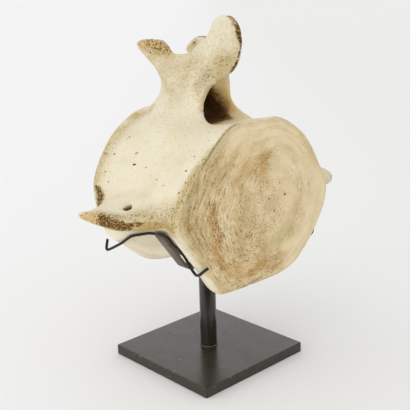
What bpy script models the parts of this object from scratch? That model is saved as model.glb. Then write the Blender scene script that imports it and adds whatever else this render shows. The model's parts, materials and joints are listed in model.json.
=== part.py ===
"""Tail vertebra of a large baleen whale on its metal stand, at life size.

Metres, +Z up. The origin is the centre of the base plate's underside.
+Y points towards the animal's head and +X towards its right side, so the
rear face of the vertebra looks along -Y.
"""
import math
from dataclasses import dataclass

import bmesh
import bpy
import numpy as np
from mathutils import Vector

OBJECT_NAME = "whale_vertebra"

# ---- finishes ---------------------------------------------------------------
BONE_COLOUR = (0.76, 0.66, 0.46)
BONE_ROUGHNESS = 0.62
STEEL_COLOUR = (0.035, 0.033, 0.031)
STEEL_METALLIC = 0.85

# ---- stand ------------------------------------------------------------------
PLATE_SIDE = 0.200
PLATE_THICKNESS = 0.0150
PLATE_EDGE_ROUND = 0.0015
POST_RADIUS = 0.0125
POST_SIDES = 40
STRAP_WIDTH = 0.020
STRAP_THICKNESS = 0.004
STRAP_UNDERSIDE = 0.1485
STRAP_FLAT_HALF = 0.0435
STRAP_SLOPE = math.radians(53.4)
STRAP_END_HEIGHT = 0.2114
STRAP_BEND = 0.008       # how far from each corner the bend starts
STRAP_BEND_STEPS = 4
WIRE_DIAMETER = 0.0040
WIRE_STEPS = 2
TOUCH_GAP = 0.0003

# ---- the two wires the bone lies in, each bent up at both ends: x, y, z --------
LEFT_WIRE = (
    (-0.1060, -0.1160, 0.1955),
    (-0.1055, -0.1060, 0.1880),
    (-0.1045, -0.0980, 0.1815),
    (-0.1035, -0.0925, 0.1795),
    (-0.1010, -0.0850, 0.1790),
    (-0.0990, -0.0730, 0.1865),
    (-0.0968, -0.0613, 0.1955),
    (-0.0958, -0.0490, 0.2025),
    (-0.0945, -0.0350, 0.2068),
    (-0.0930, -0.0250, 0.2122),
    (-0.0912, -0.0125, 0.2137),
    (-0.0905, 0.0000, 0.2128),
    (-0.0915, 0.0080, 0.2122),
    (-0.0945, 0.0160, 0.2115),
    (-0.0985, 0.0290, 0.2080),
    (-0.1045, 0.0430, 0.2035),
    (-0.1055, 0.0635, 0.1900),
    (-0.1058, 0.0810, 0.1800),
    (-0.1055, 0.0975, 0.1715),
    (-0.1060, 0.1015, 0.1710),
    (-0.1060, 0.1022, 0.1745),
    (-0.1060, 0.0985, 0.1875),
)
RIGHT_WIRE = (
    (0.1310, -0.0900, 0.1985),
    (0.1285, -0.0945, 0.1930),
    (0.1250, -0.0990, 0.1880),
    (0.1205, -0.0985, 0.1830),
    (0.1145, -0.0925, 0.1775),
    (0.1080, -0.0820, 0.1740),
    (0.1030, -0.0690, 0.1800),
    (0.0995, -0.0540, 0.1925),
    (0.0960, -0.0380, 0.2050),
    (0.0935, -0.0265, 0.2110),
    (0.0912, -0.0125, 0.2137),
    (0.0905, 0.0000, 0.2128),
    (0.0915, 0.0080, 0.2122),
    (0.0945, 0.0160, 0.2110),
    (0.0990, 0.0290, 0.2065),
    (0.1050, 0.0430, 0.2015),
    (0.1060, 0.0635, 0.1885),
    (0.1060, 0.0810, 0.1795),
    (0.1055, 0.0975, 0.1715),
    (0.1060, 0.1015, 0.1710),
    (0.1060, 0.1022, 0.1745),
    (0.1060, 0.0985, 0.1875),
)

# ---- centrum ----------------------------------------------------------------
REAR_FACE = -0.106
FRONT_FACE = 0.085
CENTRUM_CENTRE_Z = 0.2565
RIM_ROUND = 0.006
RIM_BAND = 0.04          # share of the half-length that stays at full size
FACE_DISH = 0.002

# ---- how finely the bone is made ----------------------------------------------
RING_POINTS = 72
LANDMARK_STEPS = 12
SIDE_RINGS = 32
RIM_STEPS = 6
LOFT_STEPS = 4
FACE_SHARES = (0.06, 0.35, 0.65, 0.88)
BLEND_VOXEL = 0.004
BLEND_SMOOTHING = 8
BONE_TRIANGLES = 7600


@dataclass(frozen=True)
class Landmark:
    """A point of the centrum's outline: half-width and height on each rim and the waist."""

    name: str
    rear_right: tuple
    rear_left: tuple
    front: tuple
    waist: tuple
    turn: tuple     # rear and front: 1 falls away at once behind the rim, 2 turns in softly


CENTRUM_LANDMARKS = (
    Landmark("canal floor", (0.000, 0.3700), (0.000, 0.3700), (0.000, 0.3750), (0.000, 0.3575), (1.0, 1.0)),
    Landmark("top corner", (0.047, 0.3700), (0.050, 0.3705), (0.050, 0.3745), (0.047, 0.3585), (1.0, 1.0)),
    Landmark("shoulder", (0.099, 0.3390), (0.096, 0.3330), (0.099, 0.3455), (0.090, 0.3305), (1.5, 1.5)),
    Landmark("upper flank", (0.133, 0.2905), (0.130, 0.2915), (0.131, 0.2985), (0.117, 0.2865), (1.8, 1.8)),
    Landmark("flank", (0.151, 0.2515), (0.146, 0.2555), (0.1365, 0.2605), (0.130, 0.2575), (2.0, 2.0)),
    Landmark("lower flank", (0.136, 0.2085), (0.127, 0.2240), (0.123, 0.2090), (0.100, 0.2355), (3.0, 2.0)),
    Landmark("haunch", (0.098, 0.1650), (0.099, 0.1845), (0.087, 0.1745), (0.070, 0.1995), (3.0, 2.0)),
    Landmark("ventral knob", (0.060, 0.1450), (0.075, 0.1460), (0.045, 0.1455), (0.045, 0.1715), (3.0, 2.0)),
    Landmark("keel", (0.000, 0.1415), (0.000, 0.1425), (0.000, 0.1515), (0.000, 0.1650), (2.0, 2.0)),
)


@dataclass(frozen=True)
class Level:
    """A level cut through the arch or the spine: its rear, front and half-width."""

    z: float
    rear: float
    front: float
    half_width: float


ARCH_LEVELS = (
    Level(0.3285, -0.066, 0.078, 0.090),
    Level(0.3445, -0.058, 0.080, 0.084),
    Level(0.3545, -0.053, 0.081, 0.076),
    Level(0.3615, -0.050, 0.081, 0.066),
    Level(0.3685, -0.047, 0.081, 0.055),
    Level(0.3765, -0.043, 0.080, 0.046),
    Level(0.3875, -0.038, 0.070, 0.040),
    Level(0.3985, -0.035, 0.062, 0.037),
    Level(0.4095, -0.034, 0.059, 0.036),
    Level(0.4205, -0.034, 0.061, 0.035),
    Level(0.4295, -0.034, 0.064, 0.033),
    Level(0.4375, -0.032, 0.062, 0.028),
)
ARCH_SQUARENESS = 4.0

SPINE_LEVELS = (
    Level(0.4025, -0.030, 0.010, 0.020),
    Level(0.4165, -0.044, 0.012, 0.018),
    Level(0.4305, -0.061, 0.016, 0.0155),
    Level(0.4455, -0.072, 0.020, 0.0125),
    Level(0.4565, -0.0765, 0.016, 0.0105),
    Level(0.4685, -0.0795, -0.002, 0.009),
    Level(0.4805, -0.0790, -0.017, 0.008),
    Level(0.4925, -0.0755, -0.024, 0.0075),
    Level(0.5005, -0.0680, -0.031, 0.007),
    Level(0.5055, -0.0590, -0.044, 0.005),
)
SPINE_SQUARENESS = 2.4


@dataclass(frozen=True)
class Upright:
    """An upright cut through a metapophysis, the plate beside the spine."""

    y: float
    bottom: float
    top: float
    x_bottom: float
    x_top: float
    half_thickness: float


METAPOPHYSIS_ROOT = (
    Upright(-0.020, 0.4035, 0.4605, 0.014, 0.006, 0.0100),
    Upright(-0.004, 0.3985, 0.4575, 0.024, 0.014, 0.0100),
    Upright(0.009, 0.3985, 0.4565, 0.030, 0.026, 0.0090),
    Upright(0.018, 0.4005, 0.4655, 0.034, 0.036, 0.0085),
    Upright(0.028, 0.4065, 0.4730, 0.037, 0.041, 0.0085),
)
LEFT_METAPOPHYSIS = METAPOPHYSIS_ROOT + (
    Upright(0.042, 0.4295, 0.4750, 0.041, 0.044, 0.0080),
    Upright(0.056, 0.4447, 0.4750, 0.044, 0.046, 0.0080),
    Upright(0.068, 0.4547, 0.4735, 0.046, 0.047, 0.0070),
    Upright(0.0785, 0.4640, 0.4700, 0.047, 0.0475, 0.0040),
)
RIGHT_METAPOPHYSIS = METAPOPHYSIS_ROOT + (
    Upright(0.042, 0.4295, 0.4740, 0.041, 0.044, 0.0080),
    Upright(0.056, 0.4405, 0.4720, 0.044, 0.0465, 0.0085),
    Upright(0.067, 0.4445, 0.4660, 0.046, 0.0475, 0.0080),
    Upright(0.075, 0.4460, 0.4600, 0.0465, 0.0475, 0.0065),
    Upright(0.081, 0.4495, 0.4545, 0.047, 0.047, 0.0030),
)
METAPOPHYSIS_SQUARENESS = 2.6


@dataclass(frozen=True)
class Rib:
    """A fore-and-aft cut through a transverse process, at x from the midline."""

    x: float
    rear: float
    front: float
    z: float
    half_thickness: float


LEFT_PROCESS_RIBS = (
    Rib(0.100, -0.084, 0.066, 0.2625, 0.0290),
    Rib(0.124, -0.079, 0.063, 0.2590, 0.0215),
    Rib(0.145, -0.068, 0.059, 0.2545, 0.0165),
    Rib(0.160, -0.057, 0.056, 0.2525, 0.0125),
    Rib(0.172, -0.044, 0.053, 0.2515, 0.0110),
    Rib(0.179, -0.034, 0.050, 0.2515, 0.0095),
    Rib(0.184, 0.004, 0.049, 0.2525, 0.0070),
    Rib(0.190, 0.030, 0.047, 0.2545, 0.0045),
)
RIGHT_PROCESS_RIBS = (
    Rib(0.100, -0.086, 0.066, 0.2625, 0.0290),
    Rib(0.124, -0.083, 0.063, 0.2595, 0.0215),
    Rib(0.150, -0.080, 0.059, 0.2525, 0.0180),
    Rib(0.175, -0.078, 0.054, 0.2495, 0.0155),
    Rib(0.195, -0.076, 0.045, 0.2490, 0.0155),
    Rib(0.206, -0.072, 0.028, 0.2490, 0.0140),
    Rib(0.213, -0.064, -0.010, 0.2490, 0.0090),
)
PROCESS_SQUARENESS = 2.5


@dataclass(frozen=True)
class Canal:
    """The neural canal: a teardrop tube, open at both ends."""

    floor: float = 0.3335
    widest: float = 0.3785
    peak: float = 0.4070
    half_width: float = 0.0260
    rear: float = -0.110
    front: float = 0.110


CANAL = Canal()


def clear_scene():
    """Remove whatever objects the scene holds."""
    for existing in list(bpy.data.objects):
        bpy.data.objects.remove(existing, do_unlink=True)


def new_collection(name):
    """Return a new collection under the scene."""
    collection = bpy.data.collections.new(name)
    bpy.context.scene.collection.children.link(collection)
    return collection


def new_material(name, colour, roughness, metallic=0.0):
    """Return a Principled material of one finish."""
    material = bpy.data.materials.new(name)
    material.use_nodes = True
    shader = material.node_tree.nodes["Principled BSDF"]
    shader.inputs["Base Color"].default_value = (*colour, 1.0)
    shader.inputs["Roughness"].default_value = roughness
    shader.inputs["Metallic"].default_value = metallic
    return material


def steel_material(name, roughness):
    """Return the stand's dark blackened steel."""
    return new_material(name, STEEL_COLOUR, roughness, STEEL_METALLIC)


def mesh_object(name, data, collection, material=None):
    """Put a mesh or a curve into a collection as an object."""
    obj = bpy.data.objects.new(name, data)
    collection.objects.link(obj)
    if material is not None:
        data.materials.append(material)
    return obj


def bmesh_object(name, shape, collection, material=None):
    """Turn a bmesh into an object and free it."""
    mesh = bpy.data.meshes.new(name)
    shape.to_mesh(mesh)
    shape.free()
    return mesh_object(name, mesh, collection, material)


def smooth_rows(rows, steps):
    """Carry a smooth curve through rows of numbers, with so many steps between two."""
    rows = np.asarray(rows, dtype=float)
    padded = np.vstack([2 * rows[0] - rows[1], rows, 2 * rows[-1] - rows[-2]])
    t = np.linspace(0.0, 1.0, steps, endpoint=False)[:, None]
    spans = []
    for i in range(len(rows) - 1):
        spans.append(catmull_rom(padded[i:i + 4], t))
    spans.append(rows[-1:])
    return np.vstack(spans)


def smooth_loop(points, steps):
    """Carry a smooth closed curve through points."""
    points = np.asarray(points, dtype=float)
    t = np.linspace(0.0, 1.0, steps, endpoint=False)[:, None]
    spans = []
    for i in range(len(points)):
        around = points[[i - 1, i, (i + 1) % len(points), (i + 2) % len(points)]]
        spans.append(catmull_rom(around, t))
    return np.vstack(spans)


def catmull_rom(p, t):
    """Point t of the way from p[1] to p[2], on the curve through all four."""
    a = 2 * p[1]
    b = p[2] - p[0]
    c = 2 * p[0] - 5 * p[1] + 4 * p[2] - p[3]
    d = 3 * p[1] - p[0] - 3 * p[2] + p[3]
    return 0.5 * (a + b * t + c * t ** 2 + d * t ** 3)


def ring_angles():
    """Angles of a ring's points, all the way round."""
    return np.linspace(0.0, 2 * math.pi, RING_POINTS, endpoint=False)


def superellipse(squareness):
    """Unit superellipse: 2 is an ellipse, more is boxier."""
    angle = ring_angles()
    power = 2.0 / squareness
    u = np.sign(np.cos(angle)) * np.abs(np.cos(angle)) ** power
    v = np.sign(np.sin(angle)) * np.abs(np.sin(angle)) ** power
    return u, v


def loft_object(name, rings, collection):
    """Skin a stack of rings and close both ends with a fan to the middle."""
    shape = bmesh.new()
    stack = []
    for ring in rings:
        stack.append([shape.verts.new(tuple(point)) for point in ring])
    count = len(stack[0])
    for lower, upper in zip(stack, stack[1:]):
        for i in range(count):
            j = (i + 1) % count
            shape.faces.new((lower[i], lower[j], upper[j], upper[i]))
    for ring in (stack[0], stack[-1]):
        middle = sum((vert.co for vert in ring), Vector()) / count
        hub = shape.verts.new(middle)
        for i in range(count):
            shape.faces.new((ring[i], ring[(i + 1) % count], hub))
    bmesh.ops.recalc_face_normals(shape, faces=shape.faces)
    return bmesh_object(name, shape, collection)


def outline_radius(right, left):
    """Radius of an outline by angle, from half-widths and heights down each side."""
    outline = [*right, *[(-x, z) for x, z in reversed(left[1:-1])]]
    curve = smooth_loop(outline, LANDMARK_STEPS) - (0.0, CENTRUM_CENTRE_Z)
    angle = np.arctan2(curve[:, 1], curve[:, 0])
    order = np.argsort(angle)
    radius = np.hypot(curve[:, 0], curve[:, 1])
    return np.interp(ring_angles(), angle[order], radius[order], period=2 * math.pi)


def waist_turn(end):
    """How softly the waist turns in behind a rim, by angle; end is 0 rear or 1 front."""
    height = [m.waist[1] - CENTRUM_CENTRE_Z for m in CENTRUM_LANDMARKS]
    angle = [math.atan2(h, m.waist[0]) for h, m in zip(height, CENTRUM_LANDMARKS)]
    turn = [m.turn[end] for m in CENTRUM_LANDMARKS]
    folded = np.arcsin(np.sin(ring_angles()))
    return np.interp(folded, angle[::-1], turn[::-1])


def centrum_rings():
    """Rings from the middle of the rear face, round the rims, to the front face."""
    rear = outline_radius([m.rear_right for m in CENTRUM_LANDMARKS],
                          [m.rear_left for m in CENTRUM_LANDMARKS])
    front = outline_radius(*[[m.front for m in CENTRUM_LANDMARKS]] * 2)
    waist = outline_radius(*[[m.waist for m in CENTRUM_LANDMARKS]] * 2)
    rear_turn, front_turn = waist_turn(0), waist_turn(1)
    angle = ring_angles()
    middle = (REAR_FACE + FRONT_FACE) / 2
    half = (FRONT_FACE - REAR_FACE) / 2
    rings = []

    def add(y, shrink=0.0, share=1.0):
        along = np.clip((y - REAR_FACE) / (2 * half), 0.0, 1.0)
        front_part = along ** 2 * (3 - 2 * along)
        reach = np.clip(abs(y - middle) / half / (1 - RIM_BAND), 0.0, 1.0)
        turn = rear_turn * (1 - front_part) + front_turn * front_part
        waist_part = (1 - reach ** 2) ** turn
        rim = rear * (1 - front_part) + front * front_part
        radius = (rim + (waist - rim) * waist_part - shrink) * share
        rings.append(np.stack([radius * np.cos(angle), np.full_like(angle, y),
                               CENTRUM_CENTRE_Z + radius * np.sin(angle)], axis=1))

    for share in FACE_SHARES:
        add(REAR_FACE + FACE_DISH * (1 - share ** 2), RIM_ROUND, share)
    quarter = np.linspace(0.0, math.pi / 2, RIM_STEPS)
    for bend in quarter:
        add(REAR_FACE + RIM_ROUND * (1 - math.cos(bend)), RIM_ROUND * (1 - math.sin(bend)))
    for y in np.linspace(REAR_FACE + RIM_ROUND, FRONT_FACE - RIM_ROUND, SIDE_RINGS)[1:-1]:
        add(y)
    for bend in reversed(quarter):
        add(FRONT_FACE - RIM_ROUND * (1 - math.cos(bend)), RIM_ROUND * (1 - math.sin(bend)))
    for share in reversed(FACE_SHARES):
        add(FRONT_FACE - FACE_DISH * (1 - share ** 2), RIM_ROUND, share)
    return rings


def level_rings(levels, squareness):
    """Rings of an upright form, from its level cuts."""
    u, v = superellipse(squareness)
    rows = smooth_rows([(m.z, m.rear, m.front, m.half_width) for m in levels], LOFT_STEPS)
    rings = []
    for z, rear, front, half_width in rows:
        middle, half = (rear + front) / 2, (front - rear) / 2
        rings.append(np.stack([half_width * u, middle + half * v, np.full_like(u, z)], axis=1))
    return rings


def metapophysis_rings(uprights, side):
    """Rings of the plate on one side of the spine; side is -1 left or 1 right."""
    u, v = superellipse(METAPOPHYSIS_SQUARENESS)
    rows = smooth_rows([(m.y, m.bottom, m.top, m.x_bottom, m.x_top, m.half_thickness)
                        for m in uprights], LOFT_STEPS)
    rings = []
    for y, bottom, top, x_bottom, x_top, half_thickness in rows:
        height = (v + 1) / 2
        x = x_bottom + (x_top - x_bottom) * height + half_thickness * u
        rings.append(np.stack([side * x, np.full_like(u, y), bottom + (top - bottom) * height], axis=1))
    return rings


def process_rings(ribs, side):
    """Rings of a transverse process on one side; side is -1 left or 1 right."""
    u, v = superellipse(PROCESS_SQUARENESS)
    rows = smooth_rows([(m.x, m.rear, m.front, m.z, m.half_thickness) for m in ribs], LOFT_STEPS)
    rings = []
    for x, rear, front, z, half_thickness in rows:
        middle, half = (rear + front) / 2, (front - rear) / 2
        rings.append(np.stack([np.full_like(u, side * x), middle + half * u, z + half_thickness * v], axis=1))
    return rings


def canal_rings():
    """Rings of the canal's cutter, a teardrop carried along Y."""
    outline = smooth_loop([
        (0.0, CANAL.floor),
        (CANAL.half_width * 0.75, CANAL.floor + 0.006),
        (CANAL.half_width, CANAL.widest - 0.012),
        (CANAL.half_width * 0.93, CANAL.widest + 0.006),
        (CANAL.half_width * 0.45, CANAL.peak - 0.006),
        (0.0, CANAL.peak),
        (-CANAL.half_width * 0.45, CANAL.peak - 0.006),
        (-CANAL.half_width * 0.93, CANAL.widest + 0.006),
        (-CANAL.half_width, CANAL.widest - 0.012),
        (-CANAL.half_width * 0.75, CANAL.floor + 0.006),
    ], LOFT_STEPS)
    return [np.stack([outline[:, 0], np.full(len(outline), y), outline[:, 1]], axis=1)
            for y in (CANAL.rear, CANAL.front)]


def evaluated_mesh(obj):
    """Return a new mesh of an object with its modifiers worked in."""
    depsgraph = bpy.context.evaluated_depsgraph_get()
    return bpy.data.meshes.new_from_object(obj.evaluated_get(depsgraph), depsgraph=depsgraph)


def hide_cutter(obj):
    """Show a cutter as wires and keep it out of pictures."""
    obj.hide_render = True
    obj.display_type = "WIRE"


def pierced_arch(cutters):
    """Return the neural arch with the canal cut through it."""
    arch = loft_object("arch_block", level_rings(ARCH_LEVELS, ARCH_SQUARENESS), cutters)
    cutter = loft_object("canal_cutter", canal_rings(), cutters)
    hide_cutter(cutter)
    cut = arch.modifiers.new("canal", "BOOLEAN")
    cut.operation = "DIFFERENCE"
    cut.object = cutter
    bpy.context.view_layer.update()
    mesh = evaluated_mesh(arch)
    bpy.data.objects.remove(arch, do_unlink=True)
    return mesh


def take_mesh(obj):
    """Return an object's mesh and remove the object."""
    mesh = obj.data
    bpy.data.objects.remove(obj, do_unlink=True)
    return mesh


def build_vertebra(parts, cutters, material):
    """Build the bone: its forms are blended into one skin by a voxel remesh."""
    forms = [
        take_mesh(loft_object("centrum_form", centrum_rings(), cutters)),
        pierced_arch(cutters),
        take_mesh(loft_object("spine_form", level_rings(SPINE_LEVELS, SPINE_SQUARENESS), cutters)),
        take_mesh(loft_object("left_form", process_rings(LEFT_PROCESS_RIBS, -1), cutters)),
        take_mesh(loft_object("right_form", process_rings(RIGHT_PROCESS_RIBS, 1), cutters)),
        take_mesh(loft_object("left_plate", metapophysis_rings(LEFT_METAPOPHYSIS, -1), cutters)),
        take_mesh(loft_object("right_plate", metapophysis_rings(RIGHT_METAPOPHYSIS, 1), cutters)),
    ]
    shape = bmesh.new()
    for form in forms:
        shape.from_mesh(form)
        bpy.data.meshes.remove(form)
    bone = bmesh_object("vertebra", shape, parts, material)
    blend = bone.modifiers.new("blend", "REMESH")
    blend.mode = "VOXEL"
    blend.voxel_size = BLEND_VOXEL
    soften = bone.modifiers.new("soften", "SMOOTH")
    soften.factor = 0.5
    soften.iterations = BLEND_SMOOTHING
    bpy.context.view_layer.update()
    fine = evaluated_mesh(bone)
    triangles = sum(len(face.vertices) - 2 for face in fine.polygons)
    bpy.data.meshes.remove(fine)
    thin = bone.modifiers.new("thin", "DECIMATE")
    thin.ratio = BONE_TRIANGLES / triangles
    return bone


def build_base_plate(parts, material):
    """Build the square steel plate."""
    shape = bmesh.new()
    bmesh.ops.create_cube(shape, size=1.0)
    bmesh.ops.scale(shape, vec=(PLATE_SIDE, PLATE_SIDE, PLATE_THICKNESS), verts=shape.verts)
    plate = bmesh_object("base_plate", shape, parts, material)
    plate.location = (0.0, 0.0, PLATE_THICKNESS / 2)
    bevel = plate.modifiers.new("edge", "BEVEL")
    bevel.width = PLATE_EDGE_ROUND
    bevel.segments = 2
    return plate


def build_post(parts, material):
    """Build the round post between the plate and the strap."""
    bottom = PLATE_THICKNESS + TOUCH_GAP
    top = STRAP_UNDERSIDE - TOUCH_GAP
    shape = bmesh.new()
    bmesh.ops.create_cone(shape, cap_ends=True, segments=POST_SIDES, radius1=POST_RADIUS,
                          radius2=POST_RADIUS, depth=top - bottom)
    post = bmesh_object("post", shape, parts, material)
    post.location = (0.0, 0.0, (bottom + top) / 2)
    post.data.shade_smooth()
    post.data.set_sharp_from_angle(angle=math.radians(40))
    return post


def build_strap(parts, material):
    """Build the bent flat bar that carries the bone: flat, then up on both sides."""
    middle = STRAP_UNDERSIDE + STRAP_THICKNESS / 2
    rise = STRAP_END_HEIGHT - middle
    reach = STRAP_FLAT_HALF + rise / math.tan(STRAP_SLOPE)
    path = [(-reach, STRAP_END_HEIGHT), (-STRAP_FLAT_HALF, middle),
            (STRAP_FLAT_HALF, middle), (reach, STRAP_END_HEIGHT)]
    shape = bmesh.new()
    rows = []
    for x, z in path:
        rows.append([shape.verts.new((x, y, z)) for y in (-STRAP_WIDTH / 2, STRAP_WIDTH / 2)])
    for near, far in zip(rows, rows[1:]):
        shape.faces.new((near[0], far[0], far[1], near[1]))
    bend_edges = [shape.edges.get(row) for row in rows[1:-1]]
    bmesh.ops.bevel(shape, geom=bend_edges, offset=STRAP_BEND, segments=STRAP_BEND_STEPS,
                    profile=0.5, affect="EDGES")
    strap = bmesh_object("cradle_strap", shape, parts, material)
    wall = strap.modifiers.new("thickness", "SOLIDIFY")
    wall.thickness = STRAP_THICKNESS
    wall.offset = 0.0
    return strap


def build_wire(name, route, parts, material):
    """Build a round wire along a smooth curve through the points of its route."""
    path = smooth_rows(route, WIRE_STEPS)
    curve = bpy.data.curves.new(name, "CURVE")
    curve.dimensions = "3D"
    curve.bevel_depth = WIRE_DIAMETER / 2
    curve.bevel_resolution = 2
    curve.use_fill_caps = True
    spline = curve.splines.new("POLY")
    spline.points.add(len(path) - 1)
    for point, (x, y, z) in zip(spline.points, path):
        point.co = (x, y, z, 1.0)
    return mesh_object(name, curve, parts, material)


def main():
    """Build the vertebra and its stand."""
    clear_scene()
    parts = new_collection(OBJECT_NAME)
    cutters = new_collection("cutters")
    bone = new_material("weathered_bone", BONE_COLOUR, BONE_ROUGHNESS)
    build_vertebra(parts, cutters, bone)
    build_base_plate(parts, steel_material("plate_steel", 0.45))
    build_post(parts, steel_material("post_steel", 0.38))
    build_strap(parts, steel_material("strap_steel", 0.45))
    build_wire("cradle_wire_left", LEFT_WIRE, parts, steel_material("left_wire_steel", 0.40))
    build_wire("cradle_wire_right", RIGHT_WIRE, parts, steel_material("right_wire_steel", 0.40))


if __name__ == "__main__":
    main()
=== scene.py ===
"""Looks of a whale tail vertebra on its metal stand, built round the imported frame.

Metres, +Z up. The origin is the centre of the base plate's underside, +Y points
towards the animal's head and +X towards its right side, so the large round rear
face of the bone looks along -Y.
"""

import json
import logging
import math
from collections.abc import Callable
from dataclasses import dataclass
from enum import Enum
from functools import partial
from typing import Any

import bmesh
import bpy
import numpy as np
from mathutils import Matrix, Vector

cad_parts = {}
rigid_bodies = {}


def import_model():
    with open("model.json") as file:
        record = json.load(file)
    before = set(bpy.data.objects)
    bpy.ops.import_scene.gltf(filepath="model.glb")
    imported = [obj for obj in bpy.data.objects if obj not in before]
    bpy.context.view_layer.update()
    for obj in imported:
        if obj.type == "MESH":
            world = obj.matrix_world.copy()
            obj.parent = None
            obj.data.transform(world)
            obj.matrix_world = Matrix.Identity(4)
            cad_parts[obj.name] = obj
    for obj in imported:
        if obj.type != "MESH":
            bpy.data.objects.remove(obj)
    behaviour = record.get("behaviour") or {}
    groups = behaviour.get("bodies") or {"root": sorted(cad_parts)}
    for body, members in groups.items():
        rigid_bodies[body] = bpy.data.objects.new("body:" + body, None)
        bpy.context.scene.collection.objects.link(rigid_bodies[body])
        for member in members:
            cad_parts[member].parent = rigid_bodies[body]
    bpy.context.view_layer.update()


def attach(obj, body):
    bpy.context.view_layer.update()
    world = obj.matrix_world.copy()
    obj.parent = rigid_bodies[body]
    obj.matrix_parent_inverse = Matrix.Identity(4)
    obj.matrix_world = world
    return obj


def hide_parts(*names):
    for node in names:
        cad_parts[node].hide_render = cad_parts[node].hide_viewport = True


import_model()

LOG = logging.getLogger("whale_vertebra")
ROOT_BODY = "root"
MM = 0.001
FACE_MARKS_Y = -105.0      # the marks of the rear face are placed at this y, in millimetres


# ---------------------------------------------------------------- small helpers
def hex_linear(code: str) -> tuple[float, float, float, float]:
    """Turn an sRGB hex colour into linear light.

    Args:
        code: six hex digits.

    Returns:
        Linear red, green, blue and an alpha of 1.
    """
    srgb = [int(code[i:i + 2], 16) / 255 for i in (0, 2, 4)]
    linear = [c / 12.92 if c <= 0.04045 else ((c + 0.055) / 1.055) ** 2.4 for c in srgb]
    return (*linear, 1.0)


def per_metre(size_mm: float) -> float:
    """Noise scale whose features are about size_mm across on metre coordinates."""
    return 1.0 / (size_mm * MM)


def rows_of(text: str) -> tuple[tuple[float, ...], ...]:
    """Read rows of numbers from text: commas part the rows, and spaces the numbers."""
    return tuple(tuple(float(word) for word in row.split()) for row in text.split(","))


def smoothstep(low: float, high: float, value: np.ndarray) -> np.ndarray:
    """0 below low, 1 above high, and the cubic 3t^2 - 2t^3 between them."""
    t = np.clip((value - low) / (high - low), 0.0, 1.0)
    return t * t * (3.0 - 2.0 * t)


def smooth_rows(rows: Any, steps: int) -> np.ndarray:
    """Carry a Catmull-Rom curve through rows of numbers.

    Args:
        rows: k rows of numbers, each a point of the curve.
        steps: spans cut between one row and the next.

    Returns:
        (k - 1) * steps + 1 rows on the curve, the first and last unchanged.
    """
    rows = np.asarray(rows, dtype=float)
    padded = np.vstack([2 * rows[0] - rows[1], rows, 2 * rows[-1] - rows[-2]])
    along = np.linspace(0.0, len(rows) - 1.0, (len(rows) - 1) * steps + 1)
    span = np.minimum(along.astype(int), len(rows) - 2)
    return catmull_rom([padded[span + k] for k in range(4)], (along - span)[:, None])


def smooth_loop(points: Any, steps: int) -> np.ndarray:
    """Carry a closed Catmull-Rom curve through points, with steps spans between two."""
    points = np.asarray(points, dtype=float)
    along = np.arange(len(points) * steps) / steps
    span = along.astype(int)
    corners = [points[(span + k) % len(points)] for k in (-1, 0, 1, 2)]
    return catmull_rom(corners, (along - span)[:, None])


def catmull_rom(p: list[np.ndarray], t: np.ndarray) -> np.ndarray:
    """Point t of the way from p[1] to p[2] on the cubic through all four."""
    slope = p[2] - p[0]
    bend = 2 * p[0] - 5 * p[1] + 4 * p[2] - p[3]
    twist = 3 * p[1] - p[0] - 3 * p[2] + p[3]
    return 0.5 * (2 * p[1] + slope * t + bend * t ** 2 + twist * t ** 3)


# ------------------------------------------------------------------- solid noise
def lattice_values(cell: np.ndarray, seed: int) -> np.ndarray:
    """A fixed number from 0 to 1 for each whole-number cell.

    The three coordinates and the seed are mixed by large odd multipliers, then
    scrambled twice by a shift and a product.
    """
    c = cell.astype(np.int64)
    mixed = c[..., 0] * 374761393 + c[..., 1] * 668265263 + c[..., 2] * 1440662683
    mixed = (mixed + seed * 974634777) & 0xFFFFFFFF
    mixed = ((mixed ^ (mixed >> 13)) * 1274126177) & 0xFFFFFFFF
    mixed = ((mixed ^ (mixed >> 15)) * 668265263) & 0xFFFFFFFF
    return (mixed ^ (mixed >> 16)) / 0xFFFFFFFF


def solid_noise(points: np.ndarray, size: float, seed: int) -> np.ndarray:
    """Smooth noise from -1 to 1 with lumps about size across.

    Lattice values at a cell's eight corners, blended by the quintic
    6t^5 - 15t^4 + 10t^3 along each axis.
    """
    scaled = points / size
    cell = np.floor(scaled)
    t = scaled - cell
    fade = t * t * t * (t * (t * 6 - 15) + 10)
    total = np.zeros(len(points))
    for corner in np.ndindex(2, 2, 2):
        weight = np.prod(np.where(corner, fade, 1 - fade), axis=1)
        total += weight * lattice_values(cell + corner, seed)
    return total * 2 - 1


def layered_noise(points: np.ndarray, size: float, layers: int, seed: int) -> np.ndarray:
    """Sum of solid noises, each half as large and half as strong as the last."""
    total = np.zeros(len(points))
    for layer in range(layers):
        total += solid_noise(points, size / 2 ** layer, seed + layer) / 2 ** layer
    return total / (2 - 0.5 ** (layers - 1))


def cell_pits(points: np.ndarray, size: float, seed: int) -> np.ndarray:
    """Distance to the nearest of scattered points, one in each cell of a lattice, in cells."""
    scaled = points / size
    cell = np.floor(scaled)
    nearest = np.full(len(points), 9.0)
    for step in np.ndindex(3, 3, 3):
        home = cell + np.array(step) - 1
        jitter = np.stack([lattice_values(home, seed + axis) for axis in range(3)], axis=1)
        nearest = np.minimum(nearest, np.linalg.norm(home + jitter - scaled, axis=1))
    return nearest


def path_reach(points: np.ndarray, path: Any) -> np.ndarray:
    """How many widths each point lies from a bent line.

    Args:
        points: the points, in metres.
        path: rows of x, y, z and the line's half-width there, in millimetres.

    Returns:
        Distance to the nearest place on the line over the half-width there.
    """
    rows = np.asarray(path, dtype=float) * MM
    nearest = np.full(len(points), np.inf)
    for start, end in zip(rows, rows[1:]):
        span = end[:3] - start[:3]
        along = np.clip((points - start[:3]) @ span / (span @ span), 0.0, 1.0)
        foot = start[:3] + along[:, None] * span
        width = start[3] + along * (end[3] - start[3])
        nearest = np.minimum(nearest, np.linalg.norm(points - foot, axis=1) / width)
    return nearest


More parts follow.
